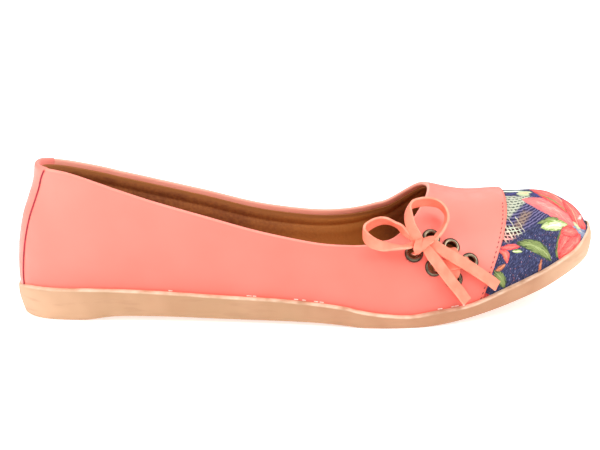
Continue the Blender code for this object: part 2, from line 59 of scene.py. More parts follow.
# %% Units
MM = 0.001
LENGTH, MIDDLE = 252.0, -1.56  # the sole's length, and the y of the middle of its width
TO_ROW = Matrix.Scale(MM, 4) @ Matrix.Translation((-LENGTH / 2, -MIDDLE, 0))
scene = bpy.context.scene
print("heel's back in the frame's metres:", [round(c, 4) for c in TO_ROW @ Vector((0, 0, 0))])

# %% [markdown]
# The camera stands at the outer side of the shoe, a little above it. A long lens keeps the shoe's
# proportions. Its axes are worked out from three angles, so that the picture leans as it should.

# %% Camera
RISE, SWING, ROLL = (math.radians(a) for a in (15.558, 0.481, -1.476))
DISTANCE, AIM = 771.2, Vector((126, 0, 28))
SENSOR, LENS, SHIFT = 36, 106.7, (-0.0103, 0.0243)
back = Vector((-math.sin(SWING) * math.cos(RISE), -math.cos(SWING) * math.cos(RISE),
               math.sin(RISE)))
level = Vector((math.cos(SWING), -math.sin(SWING), 0))
upright = back.cross(level)
right = level * math.cos(ROLL) + upright * math.sin(ROLL)
up = upright * math.cos(ROLL) - level * math.sin(ROLL)
camera = bpy.data.objects.new("camera", bpy.data.cameras.new("camera"))
camera.data.sensor_width, camera.data.lens = SENSOR, LENS
camera.data.shift_x, camera.data.shift_y = SHIFT
camera.matrix_world = (Matrix.Translation(TO_ROW @ (AIM + back * DISTANCE))
                       @ Matrix((right, up, back)).transposed().to_4x4())
scene.collection.objects.link(camera)
scene.camera = camera
print("camera at", [round(c, 3) for c in camera.location])

# %% [markdown]
# A finish is a tree of shader nodes. One small function adds a node with its settings and links,
# and another starts a finish from the roughness that its real material has. Colours are written
# as sRGB hex codes, as on a dyer's chart, and turned to linear values in one place.

# %% Helpers for finishes
def tone(code):
    """An sRGB hex colour as linear values."""
    parts = [int(code[i:i + 2], 16) / 255 for i in (0, 2, 4)]
    return (*[((c + 0.055) / 1.055) ** 2.4 if c > 0.04045 else c / 12.92 for c in parts], 1.0)


def connect(tree, node, inputs):
    """Set a node's inputs, by place or by name, to values, hex colours or nodes' outputs."""
    for key, value in inputs.items() if isinstance(inputs, dict) else enumerate(inputs):
        if isinstance(value, bpy.types.NodeSocket):
            tree.links.new(value, node.inputs[key])
        else:
            node.inputs[key].default_value = tone(value) if isinstance(value, str) else value


def add(tree, kind, inputs=(), out=0, **settings):
    """Add a shader node and return one of its outputs. Its operation may follow its kind."""
    kind, _, operation = kind.partition(" ")
    node = tree.nodes.new("ShaderNode" + kind)
    for name, value in (settings | ({"operation": operation} if operation else {})).items():
        setattr(node, name, value)
    connect(tree, node, inputs)
    return node.outputs[out]


def finish(name, roughness, **settings):
    """A new material with its Principled shader; returns the material, its tree and the shader."""
    made = bpy.data.materials.new(name)
    made.use_nodes = True
    shader = made.node_tree.nodes["Principled BSDF"]
    shader.inputs["Roughness"].default_value = roughness
    connect(made.node_tree, shader, {key.replace("_", " "): v for key, v in settings.items()})
    return made, made.node_tree, shader


print("tan rubber in linear values:", [round(c, 3) for c in tone("AE8662")])

# %% [markdown]
# The shoe stands on a pale table, lit softly by two wide lamps in front of it, one above and one
# behind, in a white surround. Shadows stay faint, and the leather shows one broad highlight.

# %% Floor and lights
studio = bpy.data.worlds.new("studio")
studio.use_nodes = True
sky = studio.node_tree
height = add(sky, "SeparateXYZ", [add(sky, "TexCoord")], out=2)
glow = add(sky, "MapRange", [height, -0.3, 0.8, 0.2, 0.8])
connect(sky, sky.nodes["Background"], {"Color": (1, 1, 1, 1), "Strength": glow})
scene.world = studio
scene.view_settings.view_transform = "Standard"

table_top = finish("opal acrylic table lit from below", 0.6, Base_Color="F6F6F6",
                   Emission_Color="FFFFFF", Emission_Strength=0.6)[0]
bm = bmesh.new()
bmesh.ops.create_grid(bm, x_segments=1, y_segments=1, size=4)  # metres each way
floor = bpy.data.objects.new("floor", bpy.data.meshes.new("floor"))
bm.to_mesh(floor.data)
bm.free()
floor.data.materials.append(table_top)
scene.collection.objects.link(floor)

# Each lamp has a name, a place and a width in metres, and a power in watts.
for name, place, size, power in (("left", (-0.95, -0.55, 0.85), 0.8, 9.0),
                                 ("right", (1.05, -0.5, 0.8), 0.8, 9.0),
                                 ("top", (0.0, -0.15, 1.25), 0.9, 5.0),
                                 ("rim", (0.1, 1.0, 0.9), 0.8, 2.5)):
    lamp = bpy.data.lights.new(name, "AREA")
    lamp.size = size
    lamp.energy = power
    light = bpy.data.objects.new(name, lamp)
    light.location = place
    light.rotation_mode = "QUATERNION"
    light.rotation_quaternion = (Vector((0, 0, 0.02)) - Vector(place)).to_track_quat("-Z", "Y")
    scene.collection.objects.link(light)

# %% [markdown]
# A last is the foot-shaped form that a shoe is made on. Its sections are superellipses between
# the edge of the foot bed and a ridge along the top. These tables hold its sizes: each row is a
# station along the shoe, and values between stations are read along a smooth curve.

# %% Sizes of the sole and the last
def table(names, *rows):
    """A table with named columns, as arrays."""
    return {name: np.array(column, float) for name, column in zip(names.split(), zip(*rows))}


OUTLINE = table(
    "x      outer  inner  axis",
    (0.0,   24.6,  25.0,  0.0),
    (38.0,  23.9,  26.0,  0.2),
    (80.0,  28.4,  25.6,  0.1),
    (110.0, 33.7,  27.5,  0.1),
    (140.0, 40.2,  33.0,  -0.2),
    (165.0, 43.1,  38.6,  -0.1),
    (185.0, 42.0,  39.3,  0.8),
    (205.0, 37.4,  35.4,  2.4),
    (225.0, 30.1,  28.5,  4.2),
    (240.0, 24.3,  23.1,  6.3),
    (252.0, 20.6,  19.9,  7.6))
SOLE = table(
    "x      under  bed   rim    undercut",
    (0.0,   0.0,   9.5,  13.3,  3.3),
    (3.0,   0.0,   9.5,  14.4,  3.7),
    (8.0,   0.0,   9.4,  15.1,  3.8),
    (29.0,  0.0,   9.3,  15.1,  4.4),
    (42.0,  1.8,   7.8,  12.9,  3.0),
    (60.0,  2.1,   7.5,  11.8,  2.6),
    (90.0,  1.6,   6.7,  10.7,  2.2),
    (110.0, 1.5,   5.5,  10.1,  2.0),
    (125.0, 1.5,   4.7,  9.3,   1.9),
    (135.0, 1.2,   4.3,  8.7,   1.7),
    (142.0, 0.6,   4.4,  8.3,   1.5),
    (148.0, 0.0,   4.6,  7.4,   1.2),
    (158.0, 0.0,   4.3,  6.1,   1.0),
    (168.0, 0.0,   4.2,  5.5,   1.0),
    (178.0, 0.0,   3.9,  6.4,   1.3),
    (196.0, 0.0,   3.2,  6.2,   1.8),
    (207.0, 0.0,   3.3,  7.4,   2.1),
    (220.0, 0.0,   3.5,  8.3,   2.3),
    (235.0, 0.0,   4.0,  9.0,   2.5),
    (245.0, 0.0,   4.7,  9.9,   2.7),
    (252.0, 0.0,   5.3,  13.9,  2.8))
LAST = table(
    "x      height  outer  inner  ridge",
    (0.0,   98.5,   2.16,  2.16,  0.0),
    (40.0,  98.5,   2.06,  2.06,  0.1),
    (80.0,  91.0,   2.09,  2.09,  0.0),
    (120.0, 70.4,   2.09,  2.19,  1.0),
    (150.0, 50.4,   2.00,  2.15,  2.8),
    (178.0, 45.8,   2.16,  2.38,  4.0),
    (195.0, 40.9,   2.10,  2.23,  4.8),
    (212.0, 38.0,   2.00,  2.12,  5.1),
    (225.0, 35.3,   2.00,  2.01,  5.3),
    (238.0, 31.8,   2.00,  2.01,  5.5),
    (252.0, 28.7,   2.01,  2.00,  7.6))
TOPLINE = table(
    "x      outer  inner",
    (0.0,   65.3,  65.3),
    (20.0,  63.8,  60.9),
    (40.0,  58.6,  56.7),
    (60.0,  51.9,  51.7),
    (80.0,  46.1,  46.4),
    (110.0, 38.1,  37.9),
    (140.0, 33.6,  34.1),
    (150.0, 33.3,  35.0),
    (158.0, 34.7,  36.7))
HEEL_CURVE = table(
    "z     forward",
    (0.0,  0.0),
    (14.0, 0.0),
    (18.0, -0.2),
    (24.0, -0.05),
    (35.0, 1.1),
    (45.0, 3.4),
    (52.0, 6.0),
    (58.0, 8.1),
    (66.0, 9.4))
SEAM = table(
    "rise   outer  inner",
    (0.0,   -13.0, -13.0),
    (20.0,  -6.4,  -6.4),
    (32.0,  -2.8,  -2.8),
    (46.0,  0.2,   0.2),
    (65.0,  1.9,   -0.8),
    (80.0,  1.7,   0.2),
    (90.0,  1.2,   1.2))
RIM_THICK = table("x width", (0.0, 1.5), (25.0, 2.0), (60.0, 2.2), (180.0, 2.2),
                  (215.0, 2.6), (240.0, 2.6), (252.0, 2.2))
# How round the outline's two ends are, how the toe springs up and how the nose closes.
HEEL_ROUND, TOE_ROUND, END_POWER = 38.0, 30.0, 2.2
SPRING_START, TOE_SPRING, SPRING_POWER = 172.0, 17.7, 1.56
NOSE_LENGTH, NOSE_POWER = 47.8, 2.4
# Where the collar starts to turn in, where it ends, and where the leather's front edge lies.
THROAT_START, THROAT, THROAT_POWER, TOE_SEAM = 158.0, 180.0, 1.7, 211.0
# The wall of leather and lining, the room between pieces, and half the back strip's width.
WALL, GAP, STRIP_HALF, AXIS_END, HEEL_CURVE_LENGTH = 2.2, 0.3, 8.5, 14.0, 45.0
# The share of the wall's height that is hidden inside the cup.
CUP_SHARE = 0.1
EYELETS = ((170.4, 30.3), (178.8, 24.6), (187.1, 19.2), (178.1, 35.6), (186.5, 31.6),
           (194.4, 25.4))
print("widest place of the outline:", OUTLINE["outer"].max() + OUTLINE["inner"].max(), "mm")

# %% [markdown]
# A shoemaker's table has few rows, so values between them have to be read along a smooth curve.
# A spline that runs past its rows would put bumps where the sole should be level, so the curve
# takes its slopes from the rows on both sides, and stays level where they are level.

# %% Reading the tables
def limit(value):
    """A number kept between 0 and 1."""
    return max(0.0, min(1.0, value))


@functools.lru_cache(None)
def slopes_of(places, values):
    """The slope of a smooth curve at each of its rows; level stretches stay level."""
    rise = np.diff(values) / np.diff(places)
    steps = np.diff(places)
    inner = [0.0 if a * b == 0 else (a * after + b * before) / (before + after)
             for a, b, before, after in zip(rise, rise[1:], steps, steps[1:])]
    return [rise[0], *inner, rise[-1]]


def blend(columns, name, x):
    """Read a column along a smooth curve through its rows."""
    places = next(iter(columns.values()))
    values = columns[name]
    x = min(max(x, places[0]), places[-1])
    i = min(int(np.searchsorted(places, x, side="right")) - 1, len(places) - 2)
    slopes = slopes_of(tuple(places), tuple(values))
    step = places[i + 1] - places[i]
    t = (x - places[i]) / step
    start = (1 + 2 * t) * (1 - t) ** 2 * values[i] + t * (1 - t) ** 2 * step * slopes[i]
    end = t * t * (3 - 2 * t) * values[i + 1] + t * t * (t - 1) * step * slopes[i + 1]
    return start + end


def side_name(side):
    """Sides are -1 for the outer and 1 for the inner one."""
    return "outer" if side < 0 else "inner"


def round_off(amount, power):
    """1 where amount is 0, and down to 0 along a round shoulder where amount is 1."""
    return (1 - limit(amount) ** power) ** (1 / power)


print("rim at the heel, the waist and the ball:",
      [round(float(blend(SOLE, "rim", x)), 1) for x in (10, 100, 170)])

# %% [markdown]
# The sole's outline is two half widths about a bent middle line, rounded off at both ends. Its
# heights are the underside, which springs up under the toe, the floor of the cup and its rim.

# %% Outline and heights of the sole
def station_at(turn):
    """The station of a place on the outline: turn runs from 0 at the heel to pi at the toe."""
    return LENGTH * (1 - math.cos(turn)) / 2


def outline(turn, side):
    """A point of the sole's outline."""
    if turn < 0 or turn > math.pi:
        turn = -turn if turn < 0 else 2 * math.pi - turn
        side = -side
    x = station_at(turn)
    closing = round_off((HEEL_ROUND - x) / HEEL_ROUND, END_POWER)
    closing *= round_off((x - LENGTH + TOE_ROUND) / TOE_ROUND, END_POWER)
    width = blend(OUTLINE, side_name(side), x) * closing
    return np.array([x, blend(OUTLINE, "axis", x) + side * width])


def inset(x, side, distance):
    """The outline's point at station x, moved inwards square to the outline."""
    turn = math.acos(1 - 2 * x / LENGTH)
    along = outline(turn + 0.01, side) - outline(turn - 0.01, side)
    along /= np.linalg.norm(along)
    return outline(turn, side) + distance * side * np.array([along[1], -along[0]])


def on_axis(x, height_at, lift=0.0):
    """A point of the sole's middle line for the section at station x."""
    x_there = AXIS_END + x * (LENGTH - 2 * AXIS_END) / LENGTH
    return Vector((x_there, blend(OUTLINE, "axis", x_there), height_at(x_there) + lift))


def under(x):
    """The height of the sole's underside, which springs up under the toe."""
    lift = limit((x - SPRING_START) / (LENGTH - SPRING_START))
    return blend(SOLE, "under", x) + TOE_SPRING * lift ** SPRING_POWER


def bed(x):
    """The height of the cup's floor, on which the upper stands."""
    return under(x) + blend(SOLE, "bed", x)


def rim(x):
    """The height of the cup's rim."""
    return under(x) + blend(SOLE, "rim", x)


print("the sole's ball is", round(outline(2.0, 1)[1] - outline(2.0, -1)[1], 1), "mm wide")

# %% [markdown]
# Any point of the last's surface comes from its station and from an angle up the section there,
# from 0 at the foot bed to 90 degrees at the ridge, which is called the rise. Real lasts are
# carved, but superellipses with a power for each side come close, with few numbers.

# %% Surface of the last
@functools.lru_cache(None)
def section(x):
    """What every point of a section shares: its feet, its ridge, its height and its powers."""
    feet = [inset(x, s, blend(RIM_THICK, "width", x) + GAP) for s in (-1, 1)]
    ridge = np.array([(feet[0][0] + feet[1][0]) / 2, blend(LAST, "ridge", x)])
    nose = round_off((x - LENGTH + NOSE_LENGTH) / NOSE_LENGTH, NOSE_POWER)
    height = blend(LAST, "height", x) * nose
    return feet, ridge, height, (2 / blend(LAST, "outer", x), 2 / blend(LAST, "inner", x))


def on_last(x, rise, side):
    """A point of the upper's outer surface."""
    feet, ridge, height, powers = section(x)
    foot, power = (feet[0], powers[0]) if side < 0 else (feet[1], powers[1])
    spot = ridge + (foot - ridge) * max(0.0, math.cos(rise)) ** power
    z = bed(spot[0]) + GAP + height * max(0.0, math.sin(rise)) ** power
    fade = max(0.0, 1 - x / HEEL_CURVE_LENGTH)
    return Vector((spot[0] + blend(HEEL_CURVE, "forward", z) * fade, spot[1], z))


def rise_at(x, side, z):
    """The rise at which the section is z high."""
    share = limit((z - bed(x) - GAP) / max(section(x)[2], 0.01))
    return math.asin(share ** (blend(LAST, side_name(side), x) / 2))


def top_rise(x, side, drop=0.0):
    """The rise at the collar, drop millimetres below the collar's edge, or at the ridge."""
    if x >= THROAT + drop:
        return math.pi / 2
    back_x = min(x, THROAT_START)
    rise = rise_at(back_x, side, blend(TOPLINE, side_name(side), back_x) - drop)
    turn = max(0.0, (x - THROAT_START) / (THROAT + drop - THROAT_START))
    return math.pi / 2 - (math.pi / 2 - rise) * (1 - turn ** THROAT_POWER) ** (1 / THROAT_POWER)


def rise_of(x, side, share, drop=0.0):
    """The rise of a share of the wall's height."""
    top = top_rise(x, side, drop)
    above_rim = min(rise_at(x, side, rim(x) + GAP), top * 0.5)
    if share < CUP_SHARE:
        return above_rim * share / CUP_SHARE
    return above_rim + (top - above_rim) * (share - CUP_SHARE) / (1 - CUP_SHARE)


def place(x, side, share, drop=0.0):
    """A point of the last. Stations by the toe bend along the vamp's front edge."""
    rise = rise_of(x, side, share, drop)
    if x > THROAT:
        reach = min((x - THROAT) / (TOE_SEAM - THROAT), (LENGTH - x) / (LENGTH - TOE_SEAM))
        x += blend(SEAM, side_name(side), math.degrees(rise)) * reach
        rise = rise_of(x, side, share, drop)
    return on_last(x, rise, side)


def on_side(x, z, side=-1):
    """A point of one side at a station and a height, and the way that the surface faces there."""
    rise = rise_at(x, side, z)
    ahead, behind = (on_last(x + step, rise_at(x + step, side, z), side) for step in (1, -1))
    climb = on_last(x, rise + 0.02, side) - on_last(x, rise - 0.02, side)
    return on_last(x, rise, side), ((ahead - behind).cross(climb) * -side).normalized()


print("ball of the foot:", [round(c, 1) for c in on_last(178, 1.0, -1)])

# %% [markdown]
# A sheet over the last starts as a flat grid for each side. Each point of the grid goes to its
# place, and the two sides are merged along the heel, the ridge and the toe. The sheet remembers
# each point's station and its share of the height, and has its own map in millimetres.

# %% Sheets over the last
def stretch(first, last, count, ease="even"):
    """Stations between two places; they crowd towards the end that ease names."""
    ways = {"even": lambda t: t, "start": lambda t: 1 - math.cos(t * math.pi / 2),
            "end": lambda t: math.sin(t * math.pi / 2)}
    return [first + (last - first) * ways[ease](i / count) for i in range(count + 1)]


def lay(bm, rows):
    """A grid of faces through rows of points; returns its vertices, row by row."""
    count = len(rows[0])
    grid = bmesh.ops.create_grid(bm, x_segments=count - 1, y_segments=len(rows) - 1,
                                 size=0.5)["verts"]
    for k, vert in enumerate(grid):
        vert.co = rows[k // count][k % count]
    return grid


def close_up(bm, gap=0.01):
    """Merge the points that meet, and turn every face outwards."""
    bmesh.ops.remove_doubles(bm, verts=bm.verts, dist=gap)
    bmesh.ops.recalc_face_normals(bm, faces=bm.faces)


def last_sheet(stations, rows, drop=0.0):
    """A sheet over both sides of the last, up to the collar or to drop millimetres under it."""
    bm = bmesh.new()
    station, share, down = (bm.verts.layers.float.new(name)
                            for name in ("station", "share", "down"))
    uv = bm.loops.layers.uv.new("surface_mm")
    shares = [j / rows for j in range(rows + 1)]
    for side in (-1, 1):
        points = np.array([[place(x, side, s, drop) for x in stations] for s in shares])
        along = np.pad(np.linalg.norm(np.diff(points, axis=1), axis=2).cumsum(1), ((0, 0), (1, 0)))
        depth = np.pad(np.linalg.norm(np.diff(points[::-1], axis=0), axis=2).cumsum(0),
                       ((1, 0), (0, 0)))[::-1]
        spots = {}
        for k, vert in enumerate(lay(bm, points)):
            j, i = divmod(k, len(stations))
            vert[station], vert[share], vert[down] = stations[i], shares[j], depth[j, i]
            spots[vert] = (along[j, i], side * depth[j, i])
        faces = list({face for vert in spots for face in vert.link_faces})
        for face in faces:
            for loop in face.loops:
                loop[uv].uv = spots[loop.vert]
        if side > 0:
            bmesh.ops.reverse_faces(bm, faces=faces)
    bmesh.ops.remove_doubles(bm, verts=bm.verts, dist=0.01)
    bm.normal_update()
    return bm


def sink(bm, depth):
    """Move a sheet inwards by a depth that is a number or depends on the point."""
    bm.normal_update()
    for vert, normal in [(vert, vert.normal.copy()) for vert in bm.verts]:
        vert.co -= normal * (depth(vert) if callable(depth) else depth)


print("heel stations:", [round(x, 1) for x in stretch(0, 38, 5, "start")])

# %% [markdown]
# Leather's edges are turned over, and holes are punched through it. A turned edge is the sheet's
# own edge, extruded step by step along a path. A punched hole takes out the faces inside a circle
# and moves the points around it onto the circle, so that its edge is round without a boolean.

# %% Folded edges and punched holes
def fold_over(radius, *tucked):
    """Steps of an edge that turns over in a half circle and ends with these steps."""
    turns = [math.pi * k / 5 for k in range(1, 6)]
    return [(radius * math.sin(a), radius * math.cos(a) - radius) for a in turns] + [*tucked]


def roll_edge(bm, edges, path):
    """Extrude a sheet's edge along a path of (outward, upward) steps in millimetres, measured
    from the edge. The new faces take the second material."""
    bm.normal_update()
    frames = {}
    for edge in edges:
        loop = edge.link_loops[0]
        a, b = loop.vert, loop.link_loop_next.vert
        for vert in (a, b):
            frames.setdefault(vert, Vector()).xyz += (b.co - a.co).normalized()
    frames = {vert: (vert.co.copy(), way.normalized().cross(vert.normal).normalized(),
                     vert.normal.copy()) for vert, way in frames.items()}
    for outward, upward in path:
        grown = bmesh.ops.extrude_edge_only(bm, edges=edges)["geom"]
        fresh = {g for g in grown if isinstance(g, bmesh.types.BMVert)}
        for face in (g for g in grown if isinstance(g, bmesh.types.BMFace)):
            face.material_index = 1
        moved = {}
        for vert in fresh:
            old = next(e.other_vert(vert) for e in vert.link_edges if e.other_vert(vert) in frames)
            start, out, normal = frames[old]
            vert.co = start + out * outward + normal * upward
            moved[vert] = frames[old]
        frames = moved
        edges = [g for g in grown if isinstance(g, bmesh.types.BMEdge)
                 and all(v in fresh for v in g.verts)]


def punch(bm, centre, facing, radius):
    """Cut a round hole through a sheet."""
    def off_axis(point):
        gap = point - centre
        return (gap - facing * gap.dot(facing)).length if gap.length < 9 else 99.0

    inner = [face for face in bm.faces if off_axis(face.calc_center_median()) < radius]
    around = {vert for face in inner for vert in face.verts}
    bmesh.ops.delete(bm, context="FACES", geom=inner)
    for vert in around:
        if vert.is_valid:
            distance = off_axis(vert.co)
            depth = facing * (vert.co - centre).dot(facing)
            vert.co = centre + depth + (vert.co - centre - depth) * radius / distance


def edges_where(bm, test):
    """The open edges of a sheet whose two ends pass a test."""
    return [edge for edge in bm.edges if edge.is_boundary and all(test(v) for v in edge.verts)]


print("a fold of 1 mm:", [(round(a, 2), round(b, 2)) for a, b in fold_over(1.0)])

# %% [markdown]
# Every piece ends in the same way: it is turned to metres, gets its materials, is shaded smooth
# up to its sharp edges, and is told to ride on the shoe's one body. A sheet gets its thickness
# from a modifier, because the two faces of a skin should stay parallel.

# %% Finished pieces
def piece(name, bm, materials, nodes=(), thickness=0.0, smooth=50):
    """Turn a bmesh in millimetres into a finished object that rides on the shoe. It replaces the
    CAD nodes, has its sheet's thickness, and is smooth up to an angle in degrees."""
    bmesh.ops.transform(bm, matrix=TO_ROW, verts=bm.verts)
    mesh = bpy.data.meshes.new(name)
    bm.to_mesh(mesh)
    bm.free()
    for material in materials:
        mesh.materials.append(material)
    mesh.shade_smooth()
    mesh.set_sharp_from_angle(angle=math.radians(smooth))
    made = bpy.data.objects.new(name, mesh)
    scene.collection.objects.link(made)
    if thickness:
        wall = made.modifiers.new("thickness", "SOLIDIFY")
        wall.thickness = thickness * MM
        wall.offset = -1
        wall.use_even_offset = True
    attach(made, "root")
    if nodes:
        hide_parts(*nodes)
    print(f"{name}: {len(mesh.polygons)} faces")
    return made


# %% [markdown]
# The lace is one flat strip. It leaves the knot, makes the rear loop and comes back as the lower
# end, and does the same with the front loop and the upper end. Its routes are planned first,
# since everything else makes room for them. A row of a route is a point and the way that the
# lace's width points there, no longer than the share of the width that lies open.

# %% Routes of the bow
LACE_WIDTH, LACE_THICK = 4.6, 1.0
KNOT_CORE = Vector((173.8, -37.4, 35.0))
KNOT_FACING = Vector((0.1, -0.85, 0.5)).normalized()
REAR_LOOP = (
    (170.2, -37.6, 35.2, 0.14, 0.00, 0.48),
    (168.2, -38.3, 34.8, 0.02, 0.90, 0.10),
    (165.5, -38.4, 34.4, -0.04, 1.00, -0.05),
    (161.3, -38.2, 34.5, -0.05, 0.97, 0.20),
    (156.9, -38.0, 34.9, 0.00, 0.75, 0.65),
    (153.5, -37.7, 36.1, -0.09, 0.10, 1.00),
    (151.1, -36.9, 37.8, 0.07, -0.10, 1.00),
    (149.7, -35.0, 39.6, 0.05, -0.30, 0.95),
    (150.1, -32.6, 40.7, -0.03, -0.35, 0.94),
    (151.7, -30.3, 41.5, -0.06, -0.42, 0.90),
    (154.2, -28.8, 42.5, -0.14, -0.53, 0.83),
    (157.5, -27.7, 43.0, -0.14, -0.64, 0.76),
    (160.9, -27.3, 42.3, -0.15, -0.73, 0.66),
    (163.9, -28.4, 41.0, 0.01, -0.80, 0.60),
    (165.9, -30.6, 39.7, 0.18, -0.60, 0.63),
    (167.5, -33.6, 38.1, 0.28, -0.10, 0.35),
    (169.3, -36.2, 37.1, 0.19, 0.00, 0.20),
    (170.5, -37.8, 35.6, 0.20, 0.00, 0.10))
LOWER_END = (
    (173.6, -38.6, 34.6, 0.36, 0.00, 0.15),
    (175.3, -39.6, 33.4, 0.61, 0.00, 0.51),
    (177.6, -40.4, 30.4, 0.75, 0.35, 0.57),
    (181.3, -41.2, 25.3, 0.79, 0.31, 0.52),
    (185.3, -40.9, 19.6, 0.81, 0.40, 0.42),
    (188.5, -40.2, 15.3, 0.74, 0.50, 0.44),
    (191.8, -39.5, 10.3, 0.68, 0.58, 0.44))
FRONT_LOOP = (
    (172.4, -37.4, 35.4, 0.44, 0.00, 0.04),
    (172.0, -38.4, 37.5, 0.75, -0.10, 0.26),
    (170.4, -38.3, 40.0, 0.80, -0.45, 0.37),
    (168.9, -36.9, 43.1, 0.72, -0.62, 0.29),
    (168.3, -34.7, 45.3, 0.60, -0.76, 0.22),
    (168.1, -31.8, 47.4, 0.39, -0.87, 0.28),
    (168.4, -29.6, 48.7, 0.17, -0.85, 0.48),
    (169.6, -27.8, 49.4, -0.05, -0.70, 0.70),
    (171.9, -26.2, 49.8, -0.18, -0.56, 0.80),
    (175.4, -25.0, 50.0, -0.17, -0.50, 0.85),
    (178.9, -24.3, 49.5, -0.04, -0.54, 0.84),
    (181.8, -24.1, 48.3, 0.09, -0.66, 0.74),
    (183.8, -24.6, 46.5, 0.18, -0.78, 0.60),
    (184.8, -26.0, 44.3, 0.18, -0.89, 0.42),
    (184.4, -28.2, 42.0, 0.16, -0.94, 0.28),
    (182.8, -31.0, 39.9, 0.25, -0.88, 0.35),
    (180.9, -33.6, 38.3, 0.42, -0.70, 0.28),
    (179.0, -35.8, 37.0, 0.44, -0.20, 0.10))
UPPER_END = (
    (176.4, -37.4, 35.7, 0.51, 0.00, 0.52),
    (179.0, -38.4, 34.6, 0.67, 0.20, 0.56),
    (182.4, -38.7, 32.1, 0.57, 0.50, 0.60),
    (187.0, -38.3, 29.0, 0.52, 0.50, 0.68),
    (192.0, -37.0, 25.5, 0.50, 0.40, 0.77),
    (197.4, -35.8, 21.4, 0.50, 0.50, 0.71),
    (202.1, -34.2, 17.6, 0.57, 0.53, 0.63),
    (205.1, -33.3, 14.8, 0.56, 0.58, 0.59))
KNOT_BAND = (
    (177.0, -34.2, 36.9, -0.87, 0.00, -0.13),
    (176.2, -37.7, 36.9, -0.96, 0.00, 0.03),
    (175.2, -40.4, 36.7, -0.78, 0.00, 0.05),
    (174.3, -40.8, 35.6, -0.48, 0.00, -0.08),
    (173.8, -40.4, 34.2, -0.25, 0.00, -0.10),
    (173.6, -39.0, 32.9, -0.16, 0.00, -0.08))
KNOT_TAIL = (
    (172.3, -37.8, 37.9, 0.45, 0.00, 0.14),
    (172.0, -39.7, 36.6, 0.70, 0.00, 0.14),
    (171.7, -40.3, 35.0, 0.81, 0.00, 0.06),
    (171.5, -40.1, 33.4, 0.77, 0.00, -0.05),
    (171.4, -38.6, 31.8, 0.49, 0.00, 0.07),
    (171.1, -36.4, 30.7, 0.30, 0.00, 0.10))
print("rows of the bow's routes:", len(REAR_LOOP + LOWER_END), len(FRONT_LOOP + UPPER_END))

# %% [markdown]
# Real finishes are never one flat colour: brass is dark where nothing rubs it. Some colours here
# also hold painted light and shade: leather is paler where the lamps fall on it and darker by the
# sole, and rubber has a painted highlight along its rim. So each finish starts with a ground
# colour and gets coats over it, each with its own share of cover, broken up by soft noise. The
# noise's scale counts patches in a metre, so at 900 a patch is a little over a millimetre wide.

# %% Helpers for colours
def chain(tree, operation, first, *rest):
    """Work terms together with one operation, from the first to the last."""
    for term in rest:
        first = add(tree, "Math " + operation, [first, term])
    return first


def where(tree, *limits):
    """1 where every limit is met; a limit is a value, where it starts and where it is met."""
    return chain(tree, "MINIMUM", *[add(tree, "MapRange", one) for one in limits])


def paint(tree, colour, *coats):
    """Paint coats over a ground colour; a coat is its share of cover and its colour."""
    for share, coat in coats:
        colour = add(tree, "Mix", {0: share, 6: colour, 7: coat}, out=2, data_type="RGBA")
    return colour


def cloud(tree, spot, scale, low, high, detail=2.0):
    """Soft noise that runs between two values."""
    noise = add(tree, "TexNoise", {"Vector": spot, "Scale": scale, "Detail": detail})
    return add(tree, "MapRange", [noise, 0.32, 0.68, low, high])


def uneven(tree, spot, scale, strength, depth, **inputs):
    """A surface that rises and falls softly, to a depth in millimetres."""
    return add(tree, "Bump", {"Height": cloud(tree, spot, scale, 0, 1), "Strength": strength,
                              "Distance": depth * MM, **inputs})


def speckled(name, roughness, low, high):
    """A finish that wanders between two colours from one millimetre to the next."""
    made, tree, shader = finish(name, roughness)
    spot = add(tree, "TexCoord", out=3)
    connect(tree, shader, {"Base Color": paint(tree, low, (cloud(tree, spot, 900, 0, 1), high))})
    return made


print("helpers:", [one.__name__ for one in (chain, where, paint, cloud, uneven, speckled)])

# %% [markdown]
# The upper is dyed nappa, soft and smooth, with a grain of less than a millimetre and a low
# sheen. The lace is split leather: matt, a little napped, and paler where it is cut. Light and
# shade are painted into the leather's colour along its length and height: paler where the lamps
# fall on it, darker near the sole.

# %% Leather and lace
leather, tree, shader = finish("soft smooth nappa leather", 0.42)
spot = add(tree, "TexCoord", out=3)
x, z = (add(tree, "SeparateXYZ", [spot], out=k) for k in (0, 2))
# Painted light: paler the higher it is, at the back of the heel and over the instep, with a soft
# mottle.
painted_light_and_mottle = chain(tree, "ADD", add(tree, "MapRange", [z, 0.012, 0.057, 0.0, 0.55]),
             add(tree, "MapRange", [x, -0.075, -0.12, 0.0, 0.5]),
             add(tree, "MapRange", [x, 0.03, 0.08, 0.0, 0.3]), cloud(tree, spot, 30, -0.13, 0.13))
# Painted shade: darker low on the sides, close to the sole, most towards the toe.
low_down = add(tree, "Attribute", out=2, attribute_name="share")
foot = chain(tree, "MULTIPLY", add(tree, "MapRange", [low_down, 0.1, 0.28, 0.6, 0.0]),
             add(tree, "MapRange", [x, 0.03, 0.075, 0.35, 1.3]))
# Nappa's grain is finer than this 0.8 mm, which is as coarse as it needs to be to show.
grain = add(tree, "TexVoronoi", {"Vector": spot, "Scale": 1300.0})
bump = add(tree, "Bump", {"Height": grain, "Strength": 0.12, "Distance": 0.1 * MM})
connect(tree, shader, {"Base Color": paint(tree, "F27060", (painted_light_and_mottle, "FF8A7B"), (foot, "DC5A4A")),
                       "Roughness": cloud(tree, spot, 180, 0.36, 0.5),
                       "Normal": uneven(tree, spot, 45, 0.3, 1.2, Normal=bump)})

# The same leather, thinned where it is folded over the collar, is painted paler there as painted
# light, most of all on the far side, whose fold lies in shade.
fold, tree, shader = finish("folded collar edge with painted light", 0.5)
spot = add(tree, "TexCoord", out=3)
across = add(tree, "MapRange", [add(tree, "SeparateXYZ", [spot], out=1), -0.014, 0.002])
across = chain(tree, "ADD", across, cloud(tree, spot, 90, -0.15, 0.15))
connect(tree, shader, {"Base Color": paint(tree, "FF8A78", (across, "FFAA94"))})


